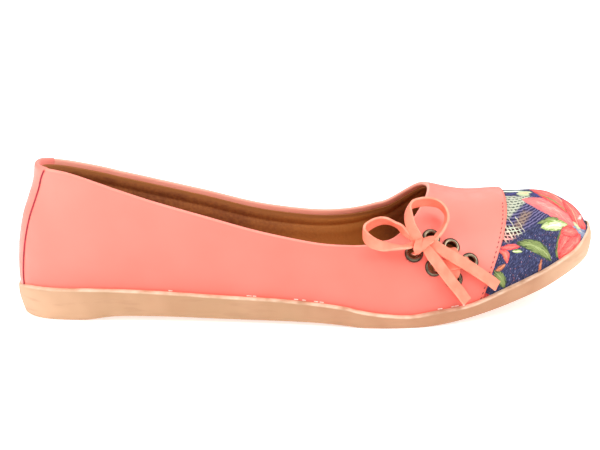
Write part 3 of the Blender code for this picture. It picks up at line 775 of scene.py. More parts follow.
def split_leather(name, roughness, low, high, tip=None):
    """Napped split leather, with a colour of its own at the lace's tip. Its nap is drawn 0.7 mm
    wide, coarser than real fibres, so that it shows."""
    made, tree, shader = finish(name, roughness)
    spot = add(tree, "TexCoord", out=3)
    colour = paint(tree, low, (cloud(tree, spot, 220, 0, 1), high))
    if tip:
        at_tip = add(tree, "Attribute", out=2, attribute_name="tip")
        colour = paint(tree, colour, (where(tree, (at_tip, 0.6, 0.9)), tip))
    connect(tree, shader, {"Base Color": colour, "Normal": uneven(tree, spot, 1500, 0.25, 0.08)})
    return made


LACE = (split_leather("matt split leather lace", 0.62, "F57E62", "FF8E72"),
        split_leather("cut edge of the lace", 0.7, "F38C70", "FFA488", tip="FFF2EA"))
print("leathers:", [made.name for made in (leather, fold, *LACE)])

# %% [markdown]
# The sole is moulded rubber, matt and faintly pitted. The lining is pigskin, mottled brown. The
# eyelets are plated brass that has aged, and the threads are waxed. Each reads its marks from the
# piece itself: the sole its rim, where a highlight is painted, the lining its binding and the
# eyelet its worn crest. The sole's ends and the lining towards the ball are painted lighter as
# well.

# %% Rubber, lining, metal and thread
# Moulded rubber, browner in between, with painted light: paler at the heel and toe, and a painted
# highlight along its rim.
rubber, tree, shader = finish("matt tan rubber", 0.6)
spot = add(tree, "TexCoord", out=3)
x = add(tree, "SeparateXYZ", [spot])
# Painted light at the heel and toe.
ends = chain(tree, "ADD", add(tree, "MapRange", [x, -0.085, -0.122]),
             add(tree, "MapRange", [x, 0.095, 0.118]), cloud(tree, spot, 60, -0.1, 0.25))
waist = chain(tree, "ADD", add(tree, "MapRange", [x, -0.03, 0.03]),
              cloud(tree, spot, 35, -0.3, 0.3))
# Painted highlight along the rim, broken up by soft noise.
wear_and_highlight = chain(tree, "MULTIPLY", add(tree, "Attribute", out=2, attribute_name="edge"),
             cloud(tree, spot, 160, 0.15, 0.9))
marks = add(tree, "VectorMath MULTIPLY", [spot, (60.0, 60.0, 400.0)])
connect(tree, shader, {
    "Base Color": paint(tree, "AE8662", (waist, "A87654"), (ends, "CCA280"), (wear_and_highlight, "ECC8AE"),
                        (cloud(tree, marks, 1.0, -0.5, 0.22), "9C6E50")),
    "Normal": uneven(tree, spot, 700, 0.2, 0.1)})

# Pigskin lining, mottled, with a tan band of binding tape; painted light makes it paler and warmer
# towards the ball, fading under the throat.
suede, tree, shader = finish("brown pigskin lining", 0.7)
spot = add(tree, "TexCoord", out=3)
x = add(tree, "SeparateXYZ", [spot])
mottle = chain(tree, "ADD", cloud(tree, spot, 70, 0.0, 0.7), cloud(tree, spot, 700, -0.2, 0.4))
painted_light_in_lining = chain(tree, "MULTIPLY", add(tree, "MapRange", [x, -0.03, 0.02, 0.0, 0.7]),
              add(tree, "MapRange", [x, 0.024, 0.045, 1.0, -0.3]))
painted_light_in_lining = chain(tree, "ADD", painted_light_in_lining, add(tree, "MapRange", [x, -0.03, -0.08, 0.0, -0.15]))
tape = add(tree, "Attribute", out=2, attribute_name="band")
connect(tree, shader, {
    "Base Color": paint(tree, "82421A", (mottle, "A9622C"), (painted_light_in_lining, "D4883C"), (tape, "A4622C")),
    "Normal": uneven(tree, spot, 900, 0.3, 0.15)})

# Aged brass: bright where fingers and lace rub it, dark elsewhere.
brass, tree, shader = finish("aged brass", 0.3, Metallic=1.0)
spot = add(tree, "TexCoord", out=3)
wear_and_highlight = chain(tree, "ADD", add(tree, "Attribute", out=2, attribute_name="wear_and_highlight"),
             cloud(tree, spot, 500, -0.3, 0.2))
connect(tree, shader, {"Base Color": paint(tree, "342D26", (wear_and_highlight, "8A7C66")),
                       "Roughness": add(tree, "MapRange", [wear_and_highlight, 0.0, 1.0, 0.5, 0.22])})

# Waxed thread has a slight gloss; dried cement is clear, and looks pale over the rubber.
piping = speckled("red waxed thread", 0.5, "861428", "C02C40")
thread = speckled("dark red waxed thread", 0.6, "8A3630", "923E38")
glue = speckled("dried clear cement", 0.35, "F6CDB8", "FFF0E4")
print("finishes:", [made.name for made in (rubber, suede, brass, piping, thread, glue)])

# %% [markdown]
# The toe is covered with printed cotton: painted flowers, leaves and bits of net over a navy
# ground like denim. Each motif is a lens with a bent middle line and brush streaks along it, so
# one group of nodes paints them all, from a table of places in millimetres on the flat cloth. The
# print repeats with a half drop, as cloth off a roll does, and the inner side mirrors the outer.

# %% Motifs of the print
REPEAT_X, REPEAT_Y, HALF_DROP = 62.0, 58.0, 31.0


def new_group(name, inputs, outputs):
    """A group of nodes, its given values and its result. Sockets are named under their kind."""
    group = bpy.data.node_groups.new(name, "ShaderNodeTree")
    for way, kinds in (("INPUT", inputs), ("OUTPUT", outputs)):
        for kind, names in kinds.items():
            for one in names.split():
                group.interface.new_socket(name=one, in_out=way, socket_type="NodeSocket" + kind)
    return group, group.nodes.new("NodeGroupInput").outputs, group.nodes.new("NodeGroupOutput")


motif, given, result = new_group(
    "motif", {"Vector": "Map Place", "Float": "Turn Length Width Bend Point"},
    {"Float": "Inside", "Vector": "Along"})
away = add(motif, "VectorMath SUBTRACT", [given["Map"], given["Place"]])
x, y = add(motif, "SeparateXYZ", [away]).node.outputs[:2]
row = add(motif, "Math ROUND", [add(motif, "Math DIVIDE", [y, REPEAT_Y])])
y = add(motif, "Math MULTIPLY_ADD", [row, -REPEAT_Y, y])
x = add(motif, "Math MULTIPLY_ADD", [row, -HALF_DROP, x])
column = add(motif, "Math ROUND", [add(motif, "Math DIVIDE", [x, REPEAT_X])])
x = add(motif, "Math MULTIPLY_ADD", [column, -REPEAT_X, x])
turned = add(motif, "VectorRotate", {
    "Vector": add(motif, "CombineXYZ", [x, y]),
    "Angle": add(motif, "Math MULTIPLY", [given["Turn"], -1.0])}, rotation_type="Z_AXIS")
x, y = add(motif, "SeparateXYZ", [turned]).node.outputs[:2]
along = add(motif, "Math DIVIDE", [x, given["Length"]])
square = add(motif, "Math MINIMUM", [add(motif, "Math MULTIPLY", [along, along]), 1.0])
left = add(motif, "Math SUBTRACT", [1.0, square])
y = add(motif, "Math SUBTRACT", [y, add(motif, "Math MULTIPLY", [left, given["Bend"]])])
half = chain(motif, "MULTIPLY", add(motif, "Math POWER", [left, given["Point"]]), given["Width"])
inside = add(motif, "Math SUBTRACT", [half, add(motif, "Math ABSOLUTE", [y])])
connect(motif, result, {"Inside": inside, "Along": add(motif, "CombineXYZ", [x, y])})

petal, given, result = new_group(
    "painted petal", {"Color": "Below Edge Body Light", "Vector": "Map Place",
                      "Float": "Turn Length Width Bend"}, {"Color": "Color"})
same = {name: given[name] for name in ("Map", "Place", "Turn", "Length", "Width", "Bend")}
inside = add(petal, "Group", same | {"Point": 0.7}, node_tree=motif)
brush = add(petal, "VectorMath MULTIPLY", [inside.node.outputs["Along"], (0.3, 2.4, 1.0)])
brush = add(petal, "VectorMath ADD", [brush, given["Place"]])
streak = add(petal, "TexNoise", {"Vector": brush, "Scale": 0.9, "Detail": 3.0})
depth = add(petal, "Math SUBTRACT", [add(petal, "Math DIVIDE", [inside, given["Width"]]), 1.3])
shade = add(petal, "Math MULTIPLY_ADD", [streak, 2.6, depth])
painted = paint(petal, given["Edge"], (where(petal, (shade, 0.1, 0.45)), given["Body"]),
                (where(petal, (shade, 0.75, 1.15)), given["Light"]))
mask = where(petal, (inside, -0.05, 0.2))
connect(petal, result, [paint(petal, given["Below"], (mask, painted))])

# Each paint has three colours: its edge, its body and its light streaks.
PAINT = {"coral": ("CC3E40", "F8665E", "FF8E80"), "pink": ("D8686E", "F47E78", "FFA89E"),
         "olive": ("36452C", "7F8E50", "A8B478"), "lime": ("86A048", "D2DCA6", "FFFFF4"),
         "beige": ("A8B48C", "CBD0A4", "DDB088"), "navy": ("26264E", "37356E", "4A4888"),
         "mint": ("A8C0A8", "D8E6D2", "F6FAEE"), "rose": ("F0968C", "FFC0B8", "FFE2DC"),
         "grey": ("3E4668", "7C88A4", "D8CDBC"), "rust": ("8A4A34", "C4714E", "E8A880")}
# A motif is its paint, its place x and y in mm, its turn in degrees, its half length and half
# width in mm, and how far its middle line bends.
MOTIFS = (
    ("mint", 8.6, -0.2, 1, 5.4, 1.5, 0.0), ("beige", 13.7, -3.1, -4, 3.7, 2.9, 0.0),
    ("navy", 8.3, -3.6, 33, 3.7, 1.6, 0.0), ("navy", 19.3, -5.4, -18, 4.2, 1.9, 0.9),
    ("grey", 42.3, -12.4, 10, 5.6, 3.6, 0.6),
    ("coral", 10.4, -34.9, 23, 4.4, 1.4, 0.2), ("coral", 8.2, -39.6, -45, 3.3, 1.7, 1.5),
    ("rust", 8.1, -39.9, -50, 2.3, 0.45, 1.0), ("rust", 8.4, -45.1, 53, 3.2, 1.1, 0.2),
    ("olive", 9.4, -49.4, -40, 4.4, 2.2, 0.7), ("rust", 25.9, -37.9, -83, 3.0, 0.8, 0.3),
    ("pink", 25.4, -10.4, -9, 13.2, 4.3, -1.2), ("coral", 27.6, -2.2, -24, 11.8, 5.2, -2.2),
    ("olive", 26.4, -6.4, -20, 8.5, 0.5, -0.6),
    ("navy", 29.6, -0.9, -53, 4.8, 0.5, 0.0), ("beige", 31.0, -2.6, -32, 9.0, 0.35, -1.6),
    ("coral", 37.6, -5.0, -25, 8.0, 6.2, -0.1), ("beige", 36.0, -7.0, -44, 6.0, 0.3, 0.6),
    ("rose", 40.6, -4.4, 67, 3.4, 0.9, -0.2), ("beige", 39.3, -11.2, 0, 2.6, 1.1, 0.0),
    ("olive", 24.4, -18.3, 34, 5.6, 1.3, 0.3), ("lime", 28.0, -18.6, 31, 7.6, 2.4, -0.2),
    ("olive", 22.0, -33.0, -5, 9.6, 2.8, 1.8), ("lime", 13.9, -35.6, 19, 2.4, 0.8, 0.1),
    ("olive", 33.0, -24.2, 94, 7.2, 3.0, -0.7), ("coral", 35.2, -23.2, 91, 7.8, 4.2, -0.7),
    ("coral", 38.9, -21.9, 65, 9.6, 3.4, -1.0), ("coral", 36.6, -17.0, 32, 5.8, 2.6, 0.3))
print("motifs:", len(MOTIFS), "in", len(PAINT), "paints")

# %% [markdown]
# The ground is cotton woven like denim: uneven threads that slant across the cloth, with a few
# printed drops. The map is folded along the top of the toe, and a slow wobble bends everything
# that is painted on it, since nothing printed on cloth stays straight.

# %% Ground of the cloth
MIRROR_Y = 4.0
cloth, tree, shader = finish("printed cotton cloth", 0.82)
x, y = add(tree, "SeparateXYZ", [add(tree, "UVMap", uv_map="surface_mm")]).node.outputs[:2]
y = add(tree, "Math ABSOLUTE", [add(tree, "Math SUBTRACT", [y, MIRROR_Y])])
flat = add(tree, "CombineXYZ", [x, add(tree, "Math SUBTRACT", [MIRROR_Y, y])])
wobble = add(tree, "TexNoise", {"Vector": flat, "Scale": 0.7, "Detail": 3.0}, out=1)
wobble = add(tree, "VectorMath SUBTRACT", [wobble, (0.5, 0.5, 0.5)])
brushed = add(tree, "VectorMath MULTIPLY_ADD", [wobble, (1.5, 1.5, 0.0), flat])

twill = add(tree, "VectorRotate", {"Vector": flat, "Angle": math.radians(14)},
            rotation_type="Z_AXIS")
twill = add(tree, "VectorMath MULTIPLY", [twill, (4.6, 0.5, 1.0)])
denim = add(tree, "ValToRGB", [add(tree, "TexNoise", {"Vector": twill, "Scale": 1.0,
                                                      "Detail": 2.0})])
ramp = denim.node.color_ramp.elements
for share, code in ((0.38, "161938"), (0.50, "23264C"), (0.60, "3C426F"), (0.70, "6C7292")):
    ramp.new(share).color = tone(code)
ramp.remove(ramp[0])
ramp.remove(ramp[-1])
drops = add(tree, "TexVoronoi", {"Vector": brushed, "Scale": 1.0}, out="Color")
few, warmth = (add(tree, "SeparateColor", [drops], out=k) for k in (0, 1))
dot = chain(tree, "MULTIPLY", where(tree, (few, 0.5, 0.55)),
            where(tree, (drops.node.outputs["Distance"], 0.3, 0.15)))
warm = paint(tree, "A85848", (warmth, "8494C4"))
print("ground of the cloth:", cloth.name)

# %% [markdown]
# A painted net lies between the flowers. Its rows bend and its columns are straight, and each
# patch of it has its own two colours. It is built from distances, which repeat along lines.

# %% Painted net
net_map = add(tree, "Group", {"Map": brushed, "Place": (13.0, -20.0, 0), "Turn": 0.0,
                              "Length": 20.0, "Width": 20.0, "Bend": 0.0, "Point": 0.5},
              out="Along", node_tree=motif)
x, y = add(tree, "SeparateXYZ", [net_map]).node.outputs[:2]


def tilted(angle, shift=0.0):
    """Distance along a direction of the net's own map, in millimetres."""
    way = (math.cos(math.radians(angle)), math.sin(math.radians(angle)), 0.0)
    far = add(tree, "VectorMath DOT_PRODUCT", [net_map, way], out=1)
    return add(tree, "Math ADD", [far, shift])


def lines(distance, pitch):
    """0 on lines that are a pitch apart, and a half between them."""
    return add(tree, "Math PINGPONG", [add(tree, "Math DIVIDE", [distance, pitch]), 0.5])


bent = add(tree, "Math ADD", [x, 1.0])
bent = chain(tree, "MULTIPLY", bent, bent)
rows = lines(add(tree, "Math MULTIPLY_ADD", [bent, -0.038, tilted(120, 0.5)]), 1.56)
columns, halves = (lines(tilted(38, 2.34), pitch) for pitch in (3.05, 1.6))
dash = where(tree, (rows, 0.24, 0.34), (halves, 0.10, 0.2))
mint = paint(tree, "BCC0AA", (dash, "3E4A40"))
lilac = paint(tree, "20204A", (where(tree, (rows, 0.28, 0.12)), "6E668E"))
earth = paint(tree, "9C8264", (dash, "4A303C"))
blocks = paint(tree, "CBD2BC", (where(tree, (y, -7.5, -10.5)), "F4A8A0"),
               (where(tree, (rows, 0.13, 0.19), (halves, 0.11, 0.18)), "3C1A20"))
brown = where(tree, (tilted(-20), -2.2, -0.6), (tilted(-20), 3.0, 1.4), (y, 5.0, 3.0))
net = paint(tree, mint, (where(tree, (tilted(-31), -4.9, -3.7)), lilac),
            (chain(tree, "MULTIPLY", brown, 0.75), earth),
            (where(tree, (y, -4.6, -5.8), (tilted(38), -2.9, -3.8)), blocks),
            (where(tree, (columns, 0.055, 0.02), (y, 0.5, -0.5), (tilted(38), 0.5, -0.5)),
             "DCD4B4"))
whole = where(tree, (tilted(-42), 6.4, 4.6), (y, -13.6, -12.8), (y, 14.5, 13.5),
              (x, -11.0, -10.0), (tilted(-60), 12.4, 11.8))
colour = paint(tree, denim, (dot, warm), (whole, net))
print("nodes of the ground and the net:", len(tree.nodes))

# %% [markdown]
# The motifs are painted one over another in the order of their table, as a printer's screens
# would lay them, and the weave shows through them all.

# %% Motifs in their places
for kind, x, y, turn, length, width, bend in MOTIFS:
    edge, body, light = PAINT[kind]
    colour = add(tree, "Group", {
        "Below": colour, "Map": brushed, "Place": (x, y, 0), "Turn": math.radians(turn),
        "Length": length, "Width": width, "Bend": bend, "Edge": edge, "Body": body,
        "Light": light}, out="Color", node_tree=petal)

# Threads lie 0.2 mm apart, finer than the eye can count at this distance, so they are drawn
# twice as coarse, in both directions.
THREADS = 15.0
weave = chain(tree, "MULTIPLY", *[
    add(tree, "Math SINE", [add(tree, "Math MULTIPLY", [part, THREADS])])
    for part in add(tree, "SeparateXYZ", [flat]).node.outputs[:2]])
bump = add(tree, "Bump", {"Height": weave, "Strength": 0.25, "Distance": 0.05 * MM})
connect(tree, shader, {"Base Color": colour, "Normal": bump})
print("nodes of the cloth:", len(tree.nodes))

# %% [markdown]
# The lace is a flat strip, a little hollow across, with soft cut edges. A curve with a flat
# profile could make it, but its width has to fold and twist where it leaves the knot, so a grid
# is laid along the route instead, with the width's direction given in each row.

# %% Strips of lace
FACES_ACROSS, CROWN, SOFT_EDGE = 4, 0.25, 0.16


def smooth_route(points, count):
    """Points along a smooth curve through a route's own points."""
    points = [np.array(point, float) for point in points]
    ends = [2 * points[0] - points[1], *points, 2 * points[-1] - points[-2]]
    route = []
    for i in range(count + 1):
        along = (len(points) - 1) * i / count
        k = min(int(along), len(points) - 2)
        t = along - k
        before, start, end, after = ends[k:k + 4]
        route.append(0.5 * (2 * start + (end - before) * t
                            + (2 * before - 5 * start + 4 * end - after) * t * t
                            + (3 * start - before - 3 * end + after) * t ** 3))
    return np.array(route)


def strip(name, rows, nodes=()):
    """Sweep the lace's flat section along a route, whose width direction is as long as its share
    of the lace's width. Returns the piece, its middle line and its length."""
    count = 5 * (len(rows) - 1)
    route = smooth_route(rows, count)
    middle = [Vector(row[:3]) for row in route]
    shares = [j / FACES_ACROSS - 0.5 for j in range(FACES_ACROSS + 1)]
    sections, length = [], 0.0
    for i, point in enumerate(middle):
        along = (middle[min(i + 1, count)] - middle[max(i - 1, 0)]).normalized()
        wide = Vector(route[i][3:])
        width = LACE_WIDTH * min(1.0, wide.length)
        wide = (wide - along * wide.dot(along)).normalized()
        high = along.cross(wide) * CROWN
        length += (point - middle[i - 1]).length if i else 0.0
        sections.append([point + wide * width * share + high * (4 * share * share - 0.5)
                         for share in shares])
    bm = bmesh.new()
    tip = bm.verts.layers.float.new("tip")
    for vert in lay(bm, sections)[-len(shares):]:
        vert[tip] = 1.0
    made = piece(name, bm, LACE, nodes)
    wall = made.modifiers.new("thickness", "SOLIDIFY")
    wall.thickness = LACE_THICK * MM
    wall.offset = 0
    wall.material_offset_rim = 1
    soft = made.modifiers.new("soft edges", "BEVEL")
    soft.width = SOFT_EDGE * MM
    soft.segments = 2
    print(f"{name}: {length:.1f} mm long")
    return made, [TO_ROW @ point for point in middle], length * MM


def hole(number, depth, shift=0.0, towards=None):
    """A point on the middle line of an eyelet, that deep under the leather."""
    spot, facing = on_side(*EYELETS[number - 1])
    if towards is not None:
        way = on_side(*EYELETS[towards - 1])[0] - spot
        spot = spot + (way - facing * way.dot(facing)).normalized() * shift
    return spot - facing * depth


print("middle of the first eyelet:", [round(c, 1) for c in hole(1, 0)])

# %% [markdown]
# The knot is a band and a tail of the same strip, wound round a small core and led into the two
# rear eyelets.

# %% The bow
band = [(*hole(4, 2.2, 0.9, 1), -0.6, 0.0, -0.1), (*hole(4, 0.2, 0.9, 1), -0.8, 0.0, -0.12),
        *KNOT_BAND]
tail = [*KNOT_TAIL, (*hole(1, 0.2), 0.5, 0.0, 0.1), (*hole(1, 2.2), 0.6, 0.0, 0.1)]
knot_parts = [strip("lace_knot_band", band, ("lace_knot",))[0], strip("lace_knot_tail", tail)[0]]
bm = bmesh.new()
bmesh.ops.create_uvsphere(bm, u_segments=32, v_segments=20, radius=1)
bmesh.ops.scale(bm, vec=(2.6, 2.6, 1.7), verts=bm.verts)
bmesh.ops.transform(bm, verts=bm.verts, matrix=Matrix.Translation(KNOT_CORE)
                    @ KNOT_FACING.to_track_quat("Z", "Y").to_matrix().to_4x4())
knot_parts.append(piece("lace_knot_core", bm, LACE[:1]))
for name, loop, end, nodes in (
        ("lace_rear", REAR_LOOP, LOWER_END, ("lace_loop_rear", "lace_end_lower")),
        ("lace_front", FRONT_LOOP, UPPER_END, ("lace_loop_front", "lace_end_upper"))):
    made, path, length = strip(name, loop + end, nodes)
    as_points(path)
    knot_parts = []

# %% [markdown]
# The outsole is a moulded cup: a flat tread, a wall that leans in under a rounded rim, and a floor
# inside. A bevelled solid would have the same wall all round, but this one thins, leans and grows
# taller at the toe. So its section is worked out at each place of the outline, and a grid of faces
# runs through the sections.

# %% Outsole
STEPS, WALL_POWER, RIM_ROW = 120, 1.3, (9, 12)
WALL_AT_TOE = blend(SOLE, "rim", LENGTH) - blend(SOLE, "bed", LENGTH)
TIP = next(x for x in (LENGTH - 0.02 * i for i in range(200)) if section(x)[2] > WALL_AT_TOE)


def cup(turn, side):
    """A side's section of the cup sole at one place of the outline."""
    x = station_at(turn)
    undercut, height = blend(SOLE, "undercut", x), blend(SOLE, "rim", x)

    def at(distance, above):
        x_there, y = inset(x, side, distance)
        return Vector((x_there, y, under(x_there) + above))

    # The wall leans in and its rim grows rounder over the last 30 mm, up to the toe.
    toe = limit((x - 222) / 26)
    lean = 0.7 * toe + 1.1 * toe ** 4 + 0.7 * max(0.0, 1 - x / 6)
    # The tread and its soft corner, the wall up to the rim, and the rim's round top.
    points = [on_axis(x, under), at(undercut + 6, 0), at(undercut + 1.2, 0),
              at(undercut + 0.35, 0.25), at(undercut * 0.88, 0.9)]
    points += [at(undercut * 0.88 * (1 - t) ** WALL_POWER + lean * t ** 3,
                  0.9 + (height - 1.9 - toe * 0.6) * t)
               for t in (0.25, 0.5, 0.75, 1.0)]
    soft = 0.9 + 0.3 * toe
    points += [at(lean + soft * (1 - math.cos(a)), height - (1 + 0.6 * toe) * (1 - math.sin(a)))
               for a in (math.pi / 6, math.pi / 3, math.pi / 2)]
    # The rim's inner edge meets the upper; the wall goes down beside it, under the insole.
    by = min(x, TIP)
    edge = on_last(by, rise_at(by, side, rim(by)), side)
    out = Vector((*at(0, 0).xy, edge.z)) - edge
    edge = edge + out.normalized() * 0.6 * toe
    return points + [edge, Vector((*edge.xy, bed(edge.x) + 0.2)), on_axis(x, bed, 0.2)]


bm = bmesh.new()
# The rows of the rim's rounded top carry the painted highlight.
rim_highlight = bm.verts.layers.float.new("edge")
for side in (-1, 1):
    rings = [cup(math.pi * i / STEPS, side) for i in range(STEPS + 1)]
    for k, vert in enumerate(lay(bm, rings)):
        vert[rim_highlight] = 1.0 if RIM_ROW[0] <= k % len(rings[0]) <= RIM_ROW[1] else 0.0
close_up(bm)
piece("outsole_cup", bm, [rubber], ("outsole",), smooth=35)

# %% [markdown]
# The insole is a covered board that fills the cup. It is a thin box with a soft upper edge, swept
# round the same outline as the cup, so that the two fit without measuring one against the other.

# %% Insole
BOARD_LOW, BOARD_HIGH = 0.5, 2.9


def board(turn, side):
    """A side's section of the insole at one place of the outline."""
    x = station_at(turn)
    middle = on_axis(x, bed)
    edge_x, edge_y = inset(x, side, blend(RIM_THICK, "width", x) + GAP + WALL)
    edge = Vector((edge_x, edge_y, bed(edge_x)))
    rows = [middle + Vector((0, 0, BOARD_LOW)), edge + Vector((0, 0, BOARD_LOW)),
            edge + Vector((0, 0, BOARD_HIGH - 0.6))]
    for t in (0.02, 0.12, 0.3, 0.55, 1.0):
        drop = 0.25 * (1 - min(1, t / 0.02))
        rows.append(edge.lerp(middle, t) + Vector((0, 0, BOARD_HIGH - drop)))
    return rows


bm = bmesh.new()
for side in (-1, 1):
    lay(bm, [board(math.pi * i / 60, side) for i in range(61)])
close_up(bm)
piece("insole_board", bm, [suede], ("insole",), smooth=35)

# %% [markdown]
# The lining is a thin skin glued inside the leather, a little lower at the collar, where a binding
# tape shows as a band. It could be the inner face of the leather, but then its edge would not
# show. So it is a sheet of its own, sunk under the leather, with a shallow groove below the tape.

# %% Lining
HOLE_RADIUS = 2.75
HEEL_STATIONS = stretch(0, 38, 26, "start")
inside = HEEL_STATIONS + stretch(38, 158, 70)[1:] + stretch(158, 181.5, 16, "end")[1:]
inside += stretch(181.5, 251.5, 60, "end")[1:]
bm = last_sheet(inside, 60, drop=1.5)
down, band = bm.verts.layers.float["down"], bm.verts.layers.float.new("band")
for vert in bm.verts:
    vert[band] = limit((2.0 - vert[down]) / 0.6)


def lining_depth(vert):
    """Deeper under the tape, and back up where the lining swells between its seams."""
    bumps = ((0.35, 2.6, 1.6), (-0.3, 5.2, 0.9), (0.25, 8.5, 2.0))
    return 1.95 + sum(deep * math.exp(-((vert[down] - centre) / wide) ** 2)
                      for deep, centre, wide in bumps)


sink(bm, lining_depth)
for spot in EYELETS:
    punch(bm, *on_side(*spot), HOLE_RADIUS)
piece("lining_quarters", bm, [suede], thickness=0.4)

# %% [markdown]
# The upper is one skin of leather, pulled over the last and turned over at the collar. A plain
# thickened edge would look cut. So the collar's edge is extruded along a half circle and tucked
# in, as the maker folds it, and the skin gets its real thickness afterwards.

# %% Leather of the upper
COLLAR = stretch(38, 158, 110)[1:] + stretch(158, 180, 24, "end")[1:]
bm = last_sheet(HEEL_STATIONS + COLLAR + stretch(180, TOE_SEAM, 30)[1:], 64)
for spot in EYELETS:
    punch(bm, *on_side(*spot), HOLE_RADIUS)
station, share = bm.verts.layers.float["station"], bm.verts.layers.float["share"]
lip = edges_where(bm, lambda v: v[share] > 0.999 and v[station] < THROAT + 0.01)
roll_edge(bm, lip, fold_over(0.9, (-1.2, -1.85), (-2.6, -1.8)))
piece("upper_leather", bm, [leather, fold], ("upper",), thickness=0.85)

# %% [markdown]
# The toe piece is printed cloth, pulled over the toe, with its back edge under the leather's. It
# is a sheet over the last with a depth of its own: deep at the seam, and swollen over the puff
# that stiffens the toe. One table of depths is easier to tune than a second last.

# %% Toe cap
CAP_DEPTH = table(
    "x      high   low",
    (207.0, 1.2,   1.2),
    (216.0, 1.3,   0.3),
    (221.0, 0.9,   0.0),
    (226.0, 0.0,   -0.2),
    (233.0, -0.9,  -0.3),
    (239.0, -0.4,  -0.4),
    (244.0, 0.0,   -0.7),
    (248.0, 0.3,   -0.8),
    (252.0, 0.4,   -1.0))
bm = last_sheet(stretch(207, 251.9, 60, "end"), 64)
station, share = bm.verts.layers.float["station"], bm.verts.layers.float["share"]


def under_vamp(vert):
    """The cloth lies deeper by the seam and swells a little over the toe puff."""
    high = limit((vert[share] - 0.15) / 0.4)
    return (blend(CAP_DEPTH, "high", vert[station]) * high
            + blend(CAP_DEPTH, "low", vert[station]) * (1 - high))


sink(bm, under_vamp)
cap = piece("toe_cloth", bm, [cloth], ("toe_cap",), thickness=0.6)

# %% [markdown]
# The cloth was cut flat before it was pulled over the toe, so its map is unwrapped as a flat
# sheet in true size. A map projected from the side would be shorter to write, but it would smear
# the print round the toe's end.

# %% The cloth laid flat
def lay_flat(made):
    """Unwrap a piece as its cutter would lay it out, turned and scaled to its map in mm."""
    rough = np.empty(2 * len(made.data.loops), np.float32)
    made.data.uv_layers["surface_mm"].data.foreach_get("uv", rough)
    bpy.context.view_layer.objects.active = made
    made.select_set(True)
    bpy.ops.object.mode_set(mode="EDIT")
    bpy.ops.mesh.select_all(action="SELECT")
    bpy.ops.uv.unwrap(method="MINIMUM_STRETCH", iterations=12)
    bpy.ops.object.mode_set(mode="OBJECT")
    flat = np.empty_like(rough)
    layer = made.data.uv_layers["surface_mm"].data
    layer.foreach_get("uv", flat)
    rough, flat = (way[0::2] + 1j * way[1::2] for way in (rough, flat))
    rough, flat = rough - rough.mean(), flat - flat.mean()
    fits = []
    for mirrored in (flat, flat.conj()):
        turn = (mirrored.conj() @ rough) / (mirrored.conj() @ mirrored)
        fits.append((abs(mirrored * turn - rough).mean(), mirrored * turn / abs(turn)))
    error, loops = min(fits, key=lambda fit: fit[0])
    area = 0.0
    for face in made.data.polygons:
        ring = [loops[k] for k in face.loop_indices]
        area += abs(sum((a.conjugate() * b).imag for a, b in zip(ring, ring[1:] + ring[:1]))) / 2
    scale = math.sqrt(sum(face.area for face in made.data.polygons) / area) / MM
    loops = loops * scale
    loops = loops - loops.real.min()
    layer.foreach_set("uv", np.stack([loops.real, loops.imag], 1).ravel().astype(np.float32))
    print(f"{made.name}: mean error {error:.2f}, scale {scale:.1f}")


lay_flat(cap)

# %% [markdown]
# A narrow strip of the same leather covers the seam up the heel. It is a sheet over the last,
# raised by its own thickness, which widens towards the collar and folds over it.

# %% Back strip
EDGE = next(x for x in (i * 0.02 for i in range(400))
            if abs(on_last(x, 0.3, -1).y - on_last(0, 0.3, -1).y) > STRIP_HALF)
bm = last_sheet(stretch(0, EDGE, 10, "start"), 40)
share, station = bm.verts.layers.float["share"], bm.verts.layers.float["station"]


def strip_place(x, side, part):
    """A point of the back strip, which widens towards the collar."""
    flare = 0.7 * max(0.0, (part - 0.88) / 0.12) ** 2
    return place(x * (1.0 + 1.46 * part + flare), side, part)


for vert in bm.verts:
    vert.co = strip_place(vert[station], 1 if vert.co.y > 0 else -1, vert[share])
lip = edges_where(bm, lambda v: v[share] > 0.999)
sink(bm, -0.3)
roll_edge(bm, lip, fold_over(1.25, (-1.5, -2.6), (-3.0, -2.7), (-5.0, -2.7)))
piece("heel_strip", bm, [leather] * 2, ("back_strip",), thickness=0.6)

# %% [markdown]
# A red waxed cord runs along each edge of the strip. It could be a painted line, but a thin round
# tube catches the light and throws a shadow, as the cord does.

# %% Piping of the back strip
PIPING_RADIUS, PIPING_POINTS = 0.36, 81


def tube(name, points, radius, material, sides=8):
    """A thin round cord along a line of points."""
    rings, first = [], None
    for i, point in enumerate(points):
        along = (points[min(i + 1, len(points) - 1)] - points[max(i - 1, 0)]).normalized()
        first = first - along * first.dot(along) if i else along.orthogonal()
        first = first.normalized()
        second = along.cross(first)
        angles = [2 * math.pi * k / sides for k in range(sides + 1)]
        rings.append([point + (first * math.cos(a) + second * math.sin(a)) * radius
                      for a in angles])
    bm = bmesh.new()
    lay(bm, rings)
    close_up(bm, 0.001)
    return piece(name, bm, [material])


for side in (-1, 1):
    edge = []
    for k in range(PIPING_POINTS):
        share_here = 0.08 + 0.92 * k / (PIPING_POINTS - 1)
        point = strip_place(EDGE, side, share_here)
        facing = (point - strip_place(EDGE, -side, share_here)).normalized()
        edge.append(point + facing * 0.15 + Vector((-0.1, 0, 0)))
    tube(f"heel_piping_{side_name(side)}", edge, PIPING_RADIUS, piping)

# %% [markdown]
# An eyelet is a brass tube with a flange, pressed through the leather and spread out behind it.
# Its section is drawn once, from the tube's inside over the round crest to the flange's foot, and
# spun round the hole's middle, as a lathe would turn it. The crest is marked as worn.

